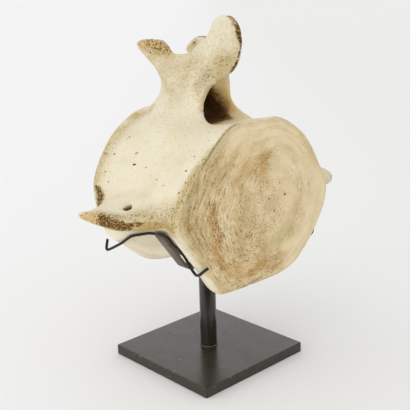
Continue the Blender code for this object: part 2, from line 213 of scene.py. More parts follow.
# --------------------------------------------------------------- mesh from arrays
@dataclass
class Surface:
    """A surface held as arrays: points, four-sided faces and triangles."""

    points: np.ndarray
    quads: np.ndarray
    triangles: np.ndarray

    @classmethod
    def tube(cls, rings: np.ndarray) -> "Surface":
        """Skin a stack of closed rings and fan both ends to their middles.

        Args:
            rings: array of m rings of n points, m by n by 3.

        Returns:
            The closed surface: quad (i, j) joins ring i to ring i + 1.
        """
        m, n = rings.shape[:2]
        hubs = rings[[0, -1]].mean(axis=1)
        points = np.vstack([rings.reshape(-1, 3), hubs])
        i, j = np.meshgrid(np.arange(m - 1), np.arange(n), indexing="ij")
        k = (j + 1) % n
        quads = np.stack([i * n + j, i * n + k, (i + 1) * n + k, (i + 1) * n + j], axis=-1)
        around = np.arange(n)
        following = (around + 1) % n
        first = np.stack([following, around, np.full(n, m * n)], axis=1)
        last = np.stack([around, following, np.full(n, m * n + 1)], axis=1)
        last[:, :2] += (m - 1) * n
        return cls(points, quads.reshape(-1, 4), np.vstack([first, last]))

    @classmethod
    def stacked(cls, x: np.ndarray, y: np.ndarray, z: np.ndarray) -> "Surface":
        """Skin rings given as coordinates that fill one another out to m by n."""
        return cls.tube(np.stack(np.broadcast_arrays(x, y, z), axis=-1))

    @classmethod
    def joined(cls, surfaces: list["Surface"]) -> "Surface":
        """Put several surfaces into one set of arrays."""
        offsets = np.cumsum([0] + [len(s.points) for s in surfaces[:-1]])
        return cls(np.vstack([s.points for s in surfaces]),
                   np.vstack([s.quads + o for s, o in zip(surfaces, offsets)]),
                   np.vstack([s.triangles + o for s, o in zip(surfaces, offsets)]))

    def mesh(self, name: str) -> bpy.types.Mesh:
        """Write the arrays into a new mesh whose faces point outwards."""
        mesh = bpy.data.meshes.new(name)
        corners = np.concatenate([self.quads.ravel(), self.triangles.ravel()]).astype(np.int32)
        sizes = np.concatenate([np.full(len(self.quads), 4), np.full(len(self.triangles), 3)])
        starts = np.concatenate([[0], np.cumsum(sizes)[:-1]]).astype(np.int32)
        mesh.vertices.add(len(self.points))
        mesh.vertices.foreach_set("co", self.points.astype(np.float32).ravel())
        mesh.loops.add(len(corners))
        mesh.loops.foreach_set("vertex_index", corners)
        mesh.polygons.add(len(sizes))
        mesh.polygons.foreach_set("loop_start", starts)
        mesh.update(calc_edges=True)
        mesh.validate()
        shape = bmesh.new()
        shape.from_mesh(mesh)
        bmesh.ops.recalc_face_normals(shape, faces=shape.faces)
        shape.to_mesh(mesh)
        shape.free()
        return mesh


def new_object(name: str, data: bpy.types.ID) -> bpy.types.Object:
    """Put a mesh, camera or light into the scene as an object at the origin."""
    obj = bpy.data.objects.new(name, data)
    bpy.context.scene.collection.objects.link(obj)
    return obj


def worked_mesh(obj: bpy.types.Object) -> bpy.types.Mesh:
    """Return a new mesh of an object with its modifiers worked in, and remove the object."""
    bpy.context.view_layer.update()
    depsgraph = bpy.context.evaluated_depsgraph_get()
    mesh = bpy.data.meshes.new_from_object(obj.evaluated_get(depsgraph), depsgraph=depsgraph)
    bpy.data.objects.remove(obj, do_unlink=True)
    return mesh


def read_vectors(mesh: bpy.types.Mesh, kind: str) -> np.ndarray:
    """Return the places ("co") or normals ("normal") of a mesh's vertices as an n by 3 array."""
    values = np.empty(len(mesh.vertices) * 3, np.float32)
    mesh.vertices.foreach_get(kind, values)
    return values.reshape(-1, 3).astype(float)


def write_points(mesh: bpy.types.Mesh, points: np.ndarray) -> None:
    """Move a mesh's vertices to new places."""
    mesh.vertices.foreach_set("co", points.astype(np.float32).ravel())
    mesh.update()


def write_mask(mesh: bpy.types.Mesh, name: str, values: np.ndarray) -> None:
    """Store one number for each vertex under a name that a finish reads."""
    layer = mesh.attributes.new(name, "FLOAT", "POINT")
    layer.data.foreach_set("value", values.astype(np.float32))


def dressed(name: str, mesh: bpy.types.Mesh, material: bpy.types.Material,
            node: str | None = None) -> None:
    """Turn a mesh into a smooth finished piece that rides on the root body.

    Args:
        name: the piece's name.
        mesh: its mesh.
        material: its finish.
        node: the CAD node that it stands for, where it stands for one.
    """
    mesh.polygons.foreach_set("use_smooth", np.ones(len(mesh.polygons), bool))
    mesh.materials.clear()
    mesh.materials.append(material)
    piece = new_object(name, mesh)
    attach(piece, ROOT_BODY)
    if node:
        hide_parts(node)
    LOG.info("%s: %d points, %d faces", name, len(mesh.vertices), len(mesh.polygons))


# ----------------------------------------------------------------------- finishes
Tree = bpy.types.NodeTree
Socket = bpy.types.NodeSocket
# for some kinds of node: the inputs that add_node fills in order, and the output that it returns
PORTS: dict[str, tuple[tuple, Any]] = {
    "Attribute": ((), "Fac"),
    "Bump": (("Height", "Strength", "Distance"), 0),
    "Mapping": (("Vector", "Scale"), 0),
    "Mix": ((0, 6, 7), 2),
    "TexCoord": ((), "Object"),
    "TexNoise": (("Vector", "Scale", "Detail", "Roughness"), "Fac"),
    "TexVoronoi": (("Vector", "Scale"), "Distance"),
    "VectorMath": ((0, 1), "Value"),
}
COLOUR = {"data_type": "RGBA"}
TIMES = {"operation": "MULTIPLY"}
TIMES_PLUS = {"operation": "MULTIPLY_ADD"}
SOFT = {"interpolation_type": "SMOOTHSTEP"}


def plug(tree: Tree, value: Any, target: Socket) -> None:
    """Link a socket to an input, or set the input to a number, a vector or a hex colour."""
    if isinstance(value, Socket):
        tree.links.new(value, target)
    else:
        target.default_value = hex_linear(value) if isinstance(value, str) else value


def add_node(tree: Tree, kind: str, *values: Any, **settings: Any) -> Socket:
    """Add a node with its settings, values and links.

    Args:
        tree: the node tree.
        kind: the node's type name without the leading ShaderNode.
        values: sockets to link or values to set, for its inputs in order.
        settings: the node's own properties.

    Returns:
        The output to link on.
    """
    node = tree.nodes.new("ShaderNode" + kind)
    inputs, output = PORTS.get(kind, (range(len(values)), 0))
    for name, value in settings.items():
        setattr(node, name, value)
    for key, value in zip(inputs, values):
        plug(tree, value, node.inputs[key])
    return node.outputs[output]


def new_material(name: str) -> tuple[bpy.types.Material, Callable[..., Socket]]:
    """Make a material, with the function that adds a node to its tree."""
    material = bpy.data.materials.new(name)
    material.use_nodes = True
    return material, partial(add_node, material.node_tree)


def feed_shader(material: bpy.types.Material, **inputs: Any) -> None:
    """Plug values into a material's shader; an underscore stands for a space."""
    shader = material.node_tree.nodes["Principled BSDF"]
    for name, value in inputs.items():
        plug(material.node_tree, value, shader.inputs[name.replace("_", " ")])


@dataclass(frozen=True)
class BoneFinish:
    """Old beach-worn whale bone: dry, matt and cream, stained tan where it is porous.

    The skin of dense bone is smooth and pale. Where it is worn through, the spongy
    inside shows as brown grains, and the round end faces hold tan growth rings.
    """

    name: str = "dry_weathered_whale_bone"
    cream: str = "dfd8c3"
    warm: str = "d3c194"
    grey_green: str = "c9c6ac"
    speckle: str = "cbbd97"
    pinhole: str = "7d6a43"
    olive: str = "bfab76"
    # tan of the stains, also laid on as painted shade under the left process's edge
    stain_and_shade_tan: str = "b89d66"
    pore: str = "5a4726"
    rim_groove: str = "66502c"
    face_light: str = "e5d2aa"
    face_pale: str = "ecddb8"
    face_tan: str = "c9ae7e"
    face_green: str = "b5a270"
    face_brown: str = "6f5122"
    face_rust: str = "9c7438"
    face_streak: str = "a08048"
    orange: str = "c19654"
    sponge_dark: str = "3a2507"
    sponge_brown: str = "6c4a18"
    sponge_pale: str = "d6bd8a"
    sponge_olive: str = "96773e"
    # colours of the dirt and painted shade in the canal and the holes: tan, brown, and near black at the
    # bottom
    shallow_dirt_and_shade: str = "a17b42"
    hollow: str = "4e3614"
    bottom: str = "1a1006"
    # painted light: a near white that lifts the dim lower left of the drum
    bleached: str = "fbeed4"
    # golden tan, partly the bone's own and partly painted light
    golden: str = "e6c27a"
    dot_border: float = 0.09
    mask_names: tuple = ("worn", "bleached", "golden", "sponge_dark", "porous", "stained", "hollow", "face",
                         "ring", "ring_cos", "ring_sin", "rough_rim", "face_brown", "face_orange",
                         "face_pale", "face_green")

    def dots(self, add: Callable[..., Socket], cells: Socket, reach: Socket) -> Socket:
        """1 inside a dot round each cell's point and 0 outside, with a soft border.

        Args:
            add: the function that adds a node.
            cells: distance to the points that the dots lie on.
            reach: the dots' radius as a share of a cell; none show below about 0.1.

        Returns:
            The mask.
        """
        inner, outer = (add("Math", reach, side * self.dot_border, operation="ADD") for side in (-1, 1))
        return add("MapRange", cells, inner, outer, 1.0, 0.0, **SOFT)

    def build(self) -> bpy.types.Material:
        """Make the material, from the dense skin up to the dirt and painted shade in the holes."""
        material, add = new_material(self.name)
        place = add("TexCoord")
        masks = {name: add("Attribute", attribute_name=name) for name in self.mask_names}
        # clouds of 60, 31 and 20 mm, mottling and ragged borders of 4 mm, coarse grain of
        # 2.5 mm, about the size of the pores that show in the photograph, and fine grain
        cloud, algae, patch, mottle, ragged, coarse, grain = (
            add("TexNoise", place, per_metre(size), detail, roughness)
            for size, detail, roughness in ((60, 3, 0.5), (31, 4, 0.6), (20, 7, 0.7), (4, 5, 0.65),
                                            (4, 4, 0.75), (2.5, 3, 0.75), (1.5, 2, 0.6)))

        # dense skin: warm and grey-green clouds, mottling as of dried grease, pale speckles
        colour = self.cream
        for source, low, high, most, tint, shape in ((cloud, 0.45, 0.75, 0.45, self.warm, SOFT),
                                                     (algae, 0.52, 0.72, 0.40, self.grey_green, SOFT),
                                                     (mottle, 0.45, 0.72, 0.45, self.warm, {}),
                                                     (coarse, 0.45, 0.75, 0.55, self.speckle, {})):
            share = add("MapRange", source, low, high, 0.0, most, **shape)
            colour = add("Mix", share, colour, tint, **COLOUR)
        # painted light on the dim lower left, golden tan that is partly painted light and as uneven as the
        # grain, and tan stains soaked in, partly painted shade under the left process's edge
        underside_light_share = add("Math", masks["bleached"], 0.85, **TIMES)
        golden_light_share = add("Math", add("MapRange", coarse, 0.30, 0.62, 1.0, 0.70), masks["golden"], **TIMES)
        stain_and_shade_load = add("Math", mottle, 0.9, masks["stained"], **TIMES_PLUS)
        stain_and_shade_share = add("MapRange", stain_and_shade_load, 0.60, 1.40, 0.0, 0.95, **SOFT)
        # pinholes a millimetre or two wide, a few to each ten square centimetres
        pins = add("MapRange", add("TexVoronoi", place, per_metre(8.5)), 0.06, 0.13, 0.75, 0.0)
        pin = add("Math", pins, add("MapRange", cloud, 0.47, 0.55), **TIMES)
        for share, tint in ((underside_light_share, self.bleached), (golden_light_share, self.golden), (stain_and_shade_share, self.stain_and_shade_tan),
                            (pin, self.pinhole)):
            colour = add("Mix", share, colour, tint, **COLOUR)

        # the face pales again towards its rim
        margin = add("MapRange", masks["ring"], 0.92, 1.0, 1.0, 0.72, **SOFT)
        margin = add("Math", margin, masks["face"], **TIMES)
        colour = add("Mix", margin, colour, self.face(add, masks, place, (patch, coarse, grain)), **COLOUR)

        # porous strips: olive tint, and dark pores of 2 mm that gather in clumps
        peppered = add("Math", masks["porous"], add("MapRange", mottle, 0.30, 0.52), **TIMES)
        cells = add("TexVoronoi", place, per_metre(2.1))
        spots = self.dots(add, cells, add("Math", peppered, 0.48, **TIMES))
        strong = add("MapRange", cells.node.outputs["Color"], 0.2, 0.8, 0.25, 0.85)
        strong = add("Math", strong, add("MapRange", peppered, 0.05, 0.20), **TIMES)
        # rough line along the rim
        rim = masks["rough_rim"]
        rim = add("Math", rim, add("MapRange", coarse, 0.50, 0.66), rim, **TIMES_PLUS)
        for share, tint in ((add("Math", masks["porous"], 0.55, **TIMES), self.olive),
                            (add("Math", spots, strong, **TIMES), self.pore),
                            (add("MapRange", rim, 0.2, 1.6, 0.0, 0.9), self.rim_groove)):
            colour = add("Mix", share, colour, tint, **COLOUR)

        # worn places: tan sponge with brown grains, thicker where it is dark; ragged border
        border = add("Math", ragged, 1.1, masks["worn"], **TIMES_PLUS)
        open_bone = add("MapRange", border, 0.90, 1.20)
        ground = add("MapRange", masks["sponge_dark"], 0.25, 0.65, 0.0, 0.75)
        mouths = add("TexVoronoi", place, per_metre(1.8))
        reach = add("Math", masks["sponge_dark"], 0.72, -0.09, **TIMES_PLUS)
        reach = add("Math", ragged, 0.60, reach, **TIMES_PLUS)
        kind = add("MapRange", mouths.node.outputs["Color"], 0.35, 0.75)
        inside = add("Mix", kind, self.sponge_brown, self.sponge_dark, **COLOUR)
        sponge = self.sponge_pale
        for share, tint in ((add("MapRange", mottle, 0.42, 0.62, 0.0, 0.55), self.orange),
                            (ground, self.sponge_olive), (self.dots(add, mouths, reach), inside)):
            sponge = add("Mix", share, sponge, tint, **COLOUR)
        colour = add("Mix", open_bone, colour, sponge, **COLOUR)

        # dirt and painted shade in the canal, the vessel holes and the channels, darker towards their depths
        for low, high, tint in ((0.0, 0.45, self.shallow_dirt_and_shade), (0.35, 0.85, self.hollow), (0.86, 0.95, self.bottom)):
            colour = add("Mix", add("MapRange", masks["hollow"], low, high), colour, tint, **COLOUR)

        # relief: fine grain everywhere, deeper where the bone is worn or porous
        depth = add("Math", open_bone, masks["porous"], operation="MAXIMUM")
        depth = add("Math", depth, -1.0, -0.12, **TIMES_PLUS)
        relief = add("Bump", add("Math", grain, depth, **TIMES), 0.9, 0.0011)
        dullness = add("MapRange", mottle, 0.3, 0.7, 0.60, 0.78)
        feed_shader(material, Base_Color=colour, Roughness=dullness, Normal=relief, Specular_IOR_Level=0.16)
        return material

    def face(self, add: Callable[..., Socket], masks: dict[str, Socket], place: Socket,
             noises: tuple[Socket, ...]) -> Socket:
        """Colour of the end faces: growth rings, and brown grains and streaks along them.

        Args:
            add: the function that adds a node.
            masks: the masks by name.
            place: the object's own coordinates.
            noises: the patchy, the coarse and the fine noise.

        Returns:
            The colour.
        """
        patch, coarse, grain = noises
        # noise drawn out round the growth centre: broad bands, fine streaks, thin lines, dashes
        along = add("CombineXYZ", masks["ring"], masks["ring_cos"], masks["ring_sin"])
        broad, fine, thin, short = (add("Mapping", along, scale) for scale in (
            (8.0, 1.6, 1.6), (56.0, 8.0, 8.0), (30.0, 1.2, 1.2), (54.0, 19.0, 19.0)))
        bands = add("TexNoise", broad, 1.0, 4.0, 0.55)
        streaks = add("TexNoise", fine, 1.0, 3.0, 0.7)
        lines = add("TexNoise", thin, 1.0, 1.0)
        # tan bands and thin rings a few millimetres apart, none in the middle
        outer = add("MapRange", masks["ring"], 0.25, 0.60, 0.0, 0.55, **SOFT)
        banded = add("Math", add("MapRange", bands, 0.43, 0.58, **SOFT), outer, **TIMES)
        tan = add("Math", add("MapRange", patch, 0.40, 0.62, 0.0, 0.55), banded, operation="ADD")
        lined = add("Math", add("MapRange", lines, 0.50, 0.66, 0.0, 0.40, **SOFT), outer, **TIMES)
        amber = add("Math", patch, 0.8, masks["face_orange"], **TIMES_PLUS)
        amber = add("Math", coarse, 0.8, amber, **TIMES_PLUS)
        # fine brown streaks along the rings, only where the face is brown
        drawn_out = add("MapRange", streaks, 0.46, 0.64, 0.0, 0.50)
        drawn_out = add("Math", drawn_out, add("MapRange", masks["face_brown"], 0.05, 0.30), **TIMES)
        # peppering: brown grains and short dashes along the rings, denser in the brown places
        load = add("Math", masks["face_brown"], 0.34, **TIMES)
        for source, weight in ((patch, 0.25), (bands, 0.10), (coarse, 0.45), (grain, 0.30), (streaks, 0.55)):
            load = add("Math", source, weight, load, **TIMES_PLUS)
        reach = add("MapRange", load, 0.84, 1.16, 0.0, 0.72)
        dashes = self.dots(add, add("TexVoronoi", short, 1.0), add("Math", reach, 0.86, **TIMES))
        grains = self.dots(add, add("TexVoronoi", place, per_metre(2.2)), reach)
        pepper = add("Math", dashes, grains, operation="MAXIMUM")
        smear = add("MapRange", load, 0.90, 1.14, 0.0, 0.54)
        pepper = add("Math", pepper, 0.60, smear, use_clamp=True, **TIMES_PLUS)
        brown = add("Mix", add("MapRange", patch, 0.42, 0.60), self.face_brown, self.face_rust, **COLOUR)
        facing = self.face_light
        for share, tint in ((tan, self.face_tan),
                            (add("Math", masks["face_pale"], 0.85, **TIMES), self.face_pale),
                            (lined, self.face_tan),
                            (add("Math", masks["face_green"], 0.92, **TIMES), self.face_green),
                            (add("MapRange", amber, 1.02, 1.74, 0.0, 0.75), self.orange),
                            (drawn_out, self.face_streak), (pepper, brown)):
            facing = add("Mix", share, facing, tint, **COLOUR)
        return facing


@dataclass(frozen=True)
class SteelFinish:
    """Mild steel under brushed satin black paint, with rust where a weld shows through.

    The paint is dark and nearly neutral; it goes pale only where it mirrors the room at
    a shallow angle, so it is a plain dielectric and not a metal.
    """

    name: str
    colour: str
    roughness: float
    rust: float = 0.0
    gloss: float = 0.8
    dust: float = 0.25
    unevenness: float = 1.0
    thin_paint: str = "2a261f"
    dust_colour: str = "bdb5a6"
    rust_colour: str = "5b3a20"

    def build(self) -> bpy.types.Material:
        """Make the material: uneven paint, fine dust specks, rust in patches."""
        material, add = new_material(self.name)
        place = add("TexCoord")
        # uneven paint of 24 mm, rust patches of 5 mm with ragged borders
        cloud = add("TexNoise", place, per_metre(24), 3.0)
        patch = add("TexNoise", place, per_metre(5), 4.0, 0.65)
        # the paint is laid on a little thinner in places and turns warmer there
        thin = add("Math", cloud, self.unevenness, **TIMES)
        # dust specks about a millimetre across, few and pale
        speck = add("MapRange", add("TexVoronoi", place, per_metre(8)), 0.07, 0.14, 0.8, 0.0)
        dust = add("Math", speck, add("MapRange", cloud, 0.55, 0.60, 0.0, self.dust), **TIMES)
        rusty = add("MapRange", patch, 0.45, 0.62, 0.0, self.rust)
        colour = self.colour
        for share, tint in ((thin, self.thin_paint), (dust, self.dust_colour), (rusty, self.rust_colour)):
            colour = add("Mix", share, colour, tint, **COLOUR)
        sheen = add("MapRange", cloud, 0.3, 0.7, self.roughness - 0.05, self.roughness + 0.07)
        # orange-peel of the brushed paint, a few hundredths of a millimetre high
        bump = add("Bump", add("TexNoise", place, per_metre(1.3), 2.0), 0.6, 0.00006)
        feed_shader(material, Base_Color=colour, Roughness=sheen, Normal=bump, Specular_IOR_Level=self.gloss)
        return material


# ---------------------------------------------------------------------- the bone
def loop_edge(right: tuple, left: tuple, middle: tuple) -> tuple[np.ndarray, np.ndarray]:
    """Follow the smooth loop down the right side of an outline and up the left.

    Args:
        right: rows of half-width and height, from the top middle down.
        left: the same for the left side.
        middle: the point that angles and radii are taken about.

    Returns:
        Angles in rising order, and the loop's radius at each.
    """
    loop = [*right, *[(-x, z) for x, z in reversed(left[1:-1])]]
    curve = smooth_loop(loop, 24) - middle
    angle = np.arctan2(curve[:, 1], curve[:, 0])
    order = np.argsort(angle)
    return angle[order], np.hypot(curve[:, 0], curve[:, 1])[order]


class Side(Enum):
    """Left and right of the animal, as the sign of x."""

    LEFT = -1
    RIGHT = 1


@dataclass(frozen=True)
class Centrum:
    """The drum of the vertebra: outlines of its rear rim, waist and front rim.

    Each outline row is a half-width and a height, from the top middle down one side.
    """

    rear_face: float = -0.106
    front_face: float = 0.085
    centre_z: float = 0.2565
    rim_round: float = 0.0045
    rim_band: float = 0.04
    points_round: int = 288
    rings_along: int = 110
    rear_growth: tuple = (0.022, 0.248)
    front_growth: tuple = (-0.008, 0.262)
    rear_right: tuple = rows_of(
        "0 0.37, 0.047 0.37, 0.099 0.339, 0.133 0.2905, 0.151 0.2515, 0.136 0.2085, 0.098 0.165, 0.06 0.145, "
        "0 0.1415")
    rear_left: tuple = rows_of(
        "0 0.37, 0.05 0.3705, 0.096 0.333, 0.13 0.2915, 0.146 0.2555, 0.127 0.224, 0.099 0.1845, "
        "0.0855 0.164, 0.0745 0.1465, 0.066 0.1435, 0 0.1425")
    front: tuple = rows_of(
        "0 0.375, 0.05 0.3745, 0.099 0.3455, 0.131 0.2985, 0.1365 0.2605, 0.123 0.209, 0.087 0.1745, "
        "0.045 0.1455, 0 0.1515")
    waist: tuple = rows_of(
        "0 0.3575, 0.047 0.3585, 0.09 0.3305, 0.117 0.2865, 0.13 0.2575, 0.1 0.2355, 0.07 0.1995, "
        "0.045 0.1715, 0 0.165")
    rear_turn: tuple = (1.0, 1.0, 1.5, 1.8, 2.0, 3.0, 3.1, 3.6, 1.8)
    front_turn: tuple = (1.0, 1.0, 1.5, 1.8, 2.0, 2.0, 2.0, 2.0, 2.0)

    def angles(self) -> np.ndarray:
        """Angles of a ring's points, all the way round."""
        return np.linspace(0.0, 2 * math.pi, self.points_round, endpoint=False)

    def outline(self, right: tuple, left: tuple) -> np.ndarray:
        """Radius by angle of the smooth loop down the right side and up the left."""
        return np.interp(self.angles(), *loop_edge(right, left, (0.0, self.centre_z)), period=2 * math.pi)

    def rings(self, points: np.ndarray, growth: tuple, right: tuple,
              left: tuple) -> tuple[np.ndarray, np.ndarray]:
        """How far out each point lies among the growth rings of an end face.

        share = r / (mean + (edge - mean)(r / edge)^2), so inner rings are rounder.

        Args:
            points: the points, in metres.
            growth: x and z of the place where the rings start.
            right: rows of the rim's right side.
            left: rows of its left side.

        Returns:
            The share, 0 at the growth centre and 1 at the rim, and the angle.
        """
        turn, radius = loop_edge(right, left, growth)
        x, z = points[:, 0] - growth[0], points[:, 2] - growth[1]
        angle, reach = np.arctan2(z, x), np.hypot(x, z)
        edge = np.interp(angle, turn, radius, period=2 * math.pi)
        grown = np.clip(reach / edge, 0.0, 1.0) ** 2
        return reach / (radius.mean() + (edge - radius.mean()) * grown), angle

    def rear_rings(self, points: np.ndarray) -> tuple[np.ndarray, np.ndarray]:
        """Growth-ring share and angle on the rear face."""
        return self.rings(points, self.rear_growth, self.rear_right, self.rear_left)

    def front_rings(self, points: np.ndarray) -> tuple[np.ndarray, np.ndarray]:
        """Growth-ring share and angle on the front face."""
        return self.rings(points, self.front_growth, self.front, self.front)

    def turn(self, turns: tuple) -> np.ndarray:
        """How softly the waist turns in behind a rim, by angle, from the waist's rows."""
        rows = np.array(self.waist) - (0.0, self.centre_z)
        angle = np.arctan2(rows[:, 1], rows[:, 0])
        folded = np.arcsin(np.sin(self.angles()))
        return np.interp(folded, angle[::-1], np.array(turns)[::-1])

    def surface(self) -> Surface:
        """Stations along Y by angles round: radius = rim + (waist - rim)(1 - s^2)^turn.

        s runs from 0 at the middle to 1 at a rim. Both rims end in a quarter circle
        and each face is a fan of shrinking copies of its rim.
        """
        shares = np.array([0.05, 0.2, 0.4, 0.6, 0.8, 0.92])
        bend = np.linspace(0.0, math.pi / 2, 6)
        back = self.rim_round * (1 - np.cos(bend))
        tuck = self.rim_round * (1 - np.sin(bend))
        side = np.linspace(self.rear_face + self.rim_round, self.front_face - self.rim_round,
                           self.rings_along)[1:-1]
        faces = np.full(len(shares), self.rim_round)
        y = np.concatenate([np.full(len(shares), self.rear_face), self.rear_face + back, side,
                            self.front_face - back[::-1], np.full(len(shares), self.front_face)])
        shrink = np.concatenate([faces, tuck, np.zeros(len(side)), tuck[::-1], faces])
        share = np.concatenate([shares, np.ones(len(y) - 2 * len(shares)), shares[::-1]])
        along = np.clip((y - self.rear_face) / (self.front_face - self.rear_face), 0.0, 1.0)
        front_part = (along ** 2 * (3 - 2 * along))[:, None]
        reach = np.clip(np.abs(along * 2 - 1) / (1 - self.rim_band), 0.0, 1.0)[:, None]
        turn = self.turn(self.rear_turn) * (1 - front_part) + self.turn(self.front_turn) * front_part
        rim = (self.outline(self.rear_right, self.rear_left) * (1 - front_part)
               + self.outline(self.front, self.front) * front_part)
        waist = self.outline(self.waist, self.waist)
        radius = (rim + (waist - rim) * (1 - reach ** 2) ** turn - shrink[:, None]) * share[:, None]
        angle = self.angles()
        return Surface.stacked(radius * np.cos(angle), y[:, None], self.centre_z + radius * np.sin(angle))


@dataclass(frozen=True)
class Processes:
    """The parts that stand out of the drum: arch, spine, side plates and side processes."""

    points_round: int = 96
    steps: int = 8
    # arch and spine: height, rear, front, half-width
    arch: tuple = rows_of(
        "0.3285 -0.066 0.078 0.09, 0.3445 -0.058 0.08 0.084, 0.3545 -0.053 0.081 0.076, "
        "0.3615 -0.05 0.081 0.066, 0.3685 -0.047 0.081 0.055, 0.3765 -0.043 0.08 0.046, "
        "0.3875 -0.038 0.07 0.04, 0.3985 -0.035 0.062 0.037, 0.4095 -0.034 0.059 0.036, "
        "0.4205 -0.034 0.061 0.035, 0.4295 -0.034 0.064 0.033, 0.4375 -0.032 0.062 0.028")
    spine: tuple = rows_of(
        "0.4025 -0.03 0.01 0.02, 0.4165 -0.044 0.012 0.018, 0.4305 -0.061 0.016 0.0155, "
        "0.4455 -0.072 0.02 0.0125, 0.4565 -0.0765 0.016 0.0105, 0.4685 -0.0795 -0.002 0.009, "
        "0.4805 -0.079 -0.017 0.008, 0.4925 -0.0755 -0.024 0.0075, 0.5005 -0.068 -0.031 0.007, "
        "0.5055 -0.059 -0.044 0.005")
    # side plates: y, bottom, top, x at the bottom, x at the top, half-thickness
    plate_root: tuple = rows_of(
        "-0.02 0.4035 0.4605 0.014 0.006 0.01, -0.004 0.3985 0.4575 0.024 0.014 0.01, "
        "0.008 0.3985 0.456 0.03 0.026 0.009, 0.018 0.401 0.4565 0.034 0.035 0.0085, "
        "0.0235 0.403 0.468 0.036 0.04 0.0085, 0.031 0.408 0.4738 0.038 0.042 0.0085")
    left_plate: tuple = rows_of(
        "0.042 0.4295 0.475 0.041 0.044 0.008, 0.056 0.4447 0.475 0.044 0.046 0.008, "
        "0.068 0.4547 0.4735 0.046 0.047 0.007, 0.0785 0.464 0.47 0.047 0.0475 0.004")
    right_plate: tuple = rows_of(
        "0.042 0.4295 0.474 0.041 0.044 0.008, 0.056 0.4405 0.472 0.044 0.0465 0.0085, "
        "0.067 0.4445 0.466 0.046 0.0475 0.008, 0.075 0.446 0.46 0.0465 0.0475 0.0065, "
        "0.081 0.4495 0.4545 0.047 0.047 0.003")
    # side processes: x, rear, front, height, half-thickness
    left_side: tuple = rows_of(
        "0.1 -0.084 0.066 0.2625 0.029, 0.124 -0.079 0.063 0.259 0.0215, 0.145 -0.068 0.052 0.254 0.016, "
        "0.16 -0.057 0.048 0.252 0.012, 0.172 -0.044 0.047 0.2515 0.0105, 0.179 -0.034 0.046 0.2515 0.0092, "
        "0.184 0.004 0.049 0.2525 0.007, 0.19 0.03 0.047 0.2545 0.0045")
    right_side: tuple = rows_of(
        "0.1 -0.086 0.066 0.2625 0.029, 0.124 -0.083 0.063 0.2595 0.0215, 0.15 -0.08 0.059 0.2525 0.018, "
        "0.175 -0.078 0.054 0.2495 0.0155, 0.195 -0.076 0.045 0.249 0.0155, 0.206 -0.072 0.028 0.249 0.014, "
        "0.213 -0.064 -0.01 0.249 0.009")

    def unit_ring(self, squareness: float) -> tuple[np.ndarray, np.ndarray]:
        """Superellipse |u|^n + |v|^n = 1, by angle; 2 is an ellipse and more is boxier."""
        angle = np.linspace(0.0, 2 * math.pi, self.points_round, endpoint=False)
        power = 2.0 / squareness
        return (np.sign(np.cos(angle)) * np.abs(np.cos(angle)) ** power,
                np.sign(np.sin(angle)) * np.abs(np.sin(angle)) ** power)

    def upright(self, rows: tuple, squareness: float) -> Surface:
        """Level cuts stacked in z: x = half-width u, y = middle + half-depth v."""
        u, v = self.unit_ring(squareness)
        z, rear, front, half_width = smooth_rows(rows, self.steps).T[:, :, None]
        x, y = half_width * u, (rear + front) / 2 + (front - rear) / 2 * v
        return Surface.stacked(x, y, z)

    def plate(self, rows: tuple, side: Side) -> Surface:
        """Upright cuts stacked in y: z climbs with v, x leans from bottom to top."""
        u, v = self.unit_ring(2.6)
        y, bottom, top, x_bottom, x_top, half = smooth_rows(rows, self.steps).T[:, :, None]
        height = (v + 1) / 2
        x = side.value * (x_bottom + (x_top - x_bottom) * height + half * u)
        return Surface.stacked(x, y, bottom + (top - bottom) * height)

    def side_process(self, rows: tuple, side: Side) -> Surface:
        """Fore-and-aft cuts stacked in x: y = middle + half-length u, z = height + half v."""
        u, v = self.unit_ring(2.5)
        x, rear, front, height, half = smooth_rows(rows, self.steps).T[:, :, None]
        return Surface.stacked(side.value * x, (rear + front) / 2 + (front - rear) / 2 * u, height + half * v)


@dataclass(frozen=True)
class NeuralCanal:
    """The teardrop tunnel through the arch."""

    floor: float = 0.3385
    peak: float = 0.4150
    half_width: float = 0.0395
    sharpness: float = 1.0
    points_round: int = 72
    rear: float = -0.110
    front: float = 0.110

    def cutter(self) -> Surface:
        """A teardrop carried along Y that flares to the right and up behind.

        z runs from the peak to the floor as (1 + cos t) / 2, and the half-width is
        w sin t sin(t / 2)^sharpness, so the top comes to a soft point.
        """
        t = np.linspace(0.0, 2 * math.pi, self.points_round, endpoint=False)
        x = self.half_width * np.sin(t) * np.abs(np.sin(t / 2)) ** self.sharpness
        z = self.floor + (self.peak - self.floor) * (1 + np.cos(t)) / 2
        y = np.concatenate([np.linspace(self.rear, 0.0, 24), [self.front]])[:, None]
        flare = 0.30 * smoothstep(0.0, 0.060, -y)
        right = x + flare * (x + x.max())
        return Surface.stacked(right, y, z + 0.8 * flare * (z - self.floor))


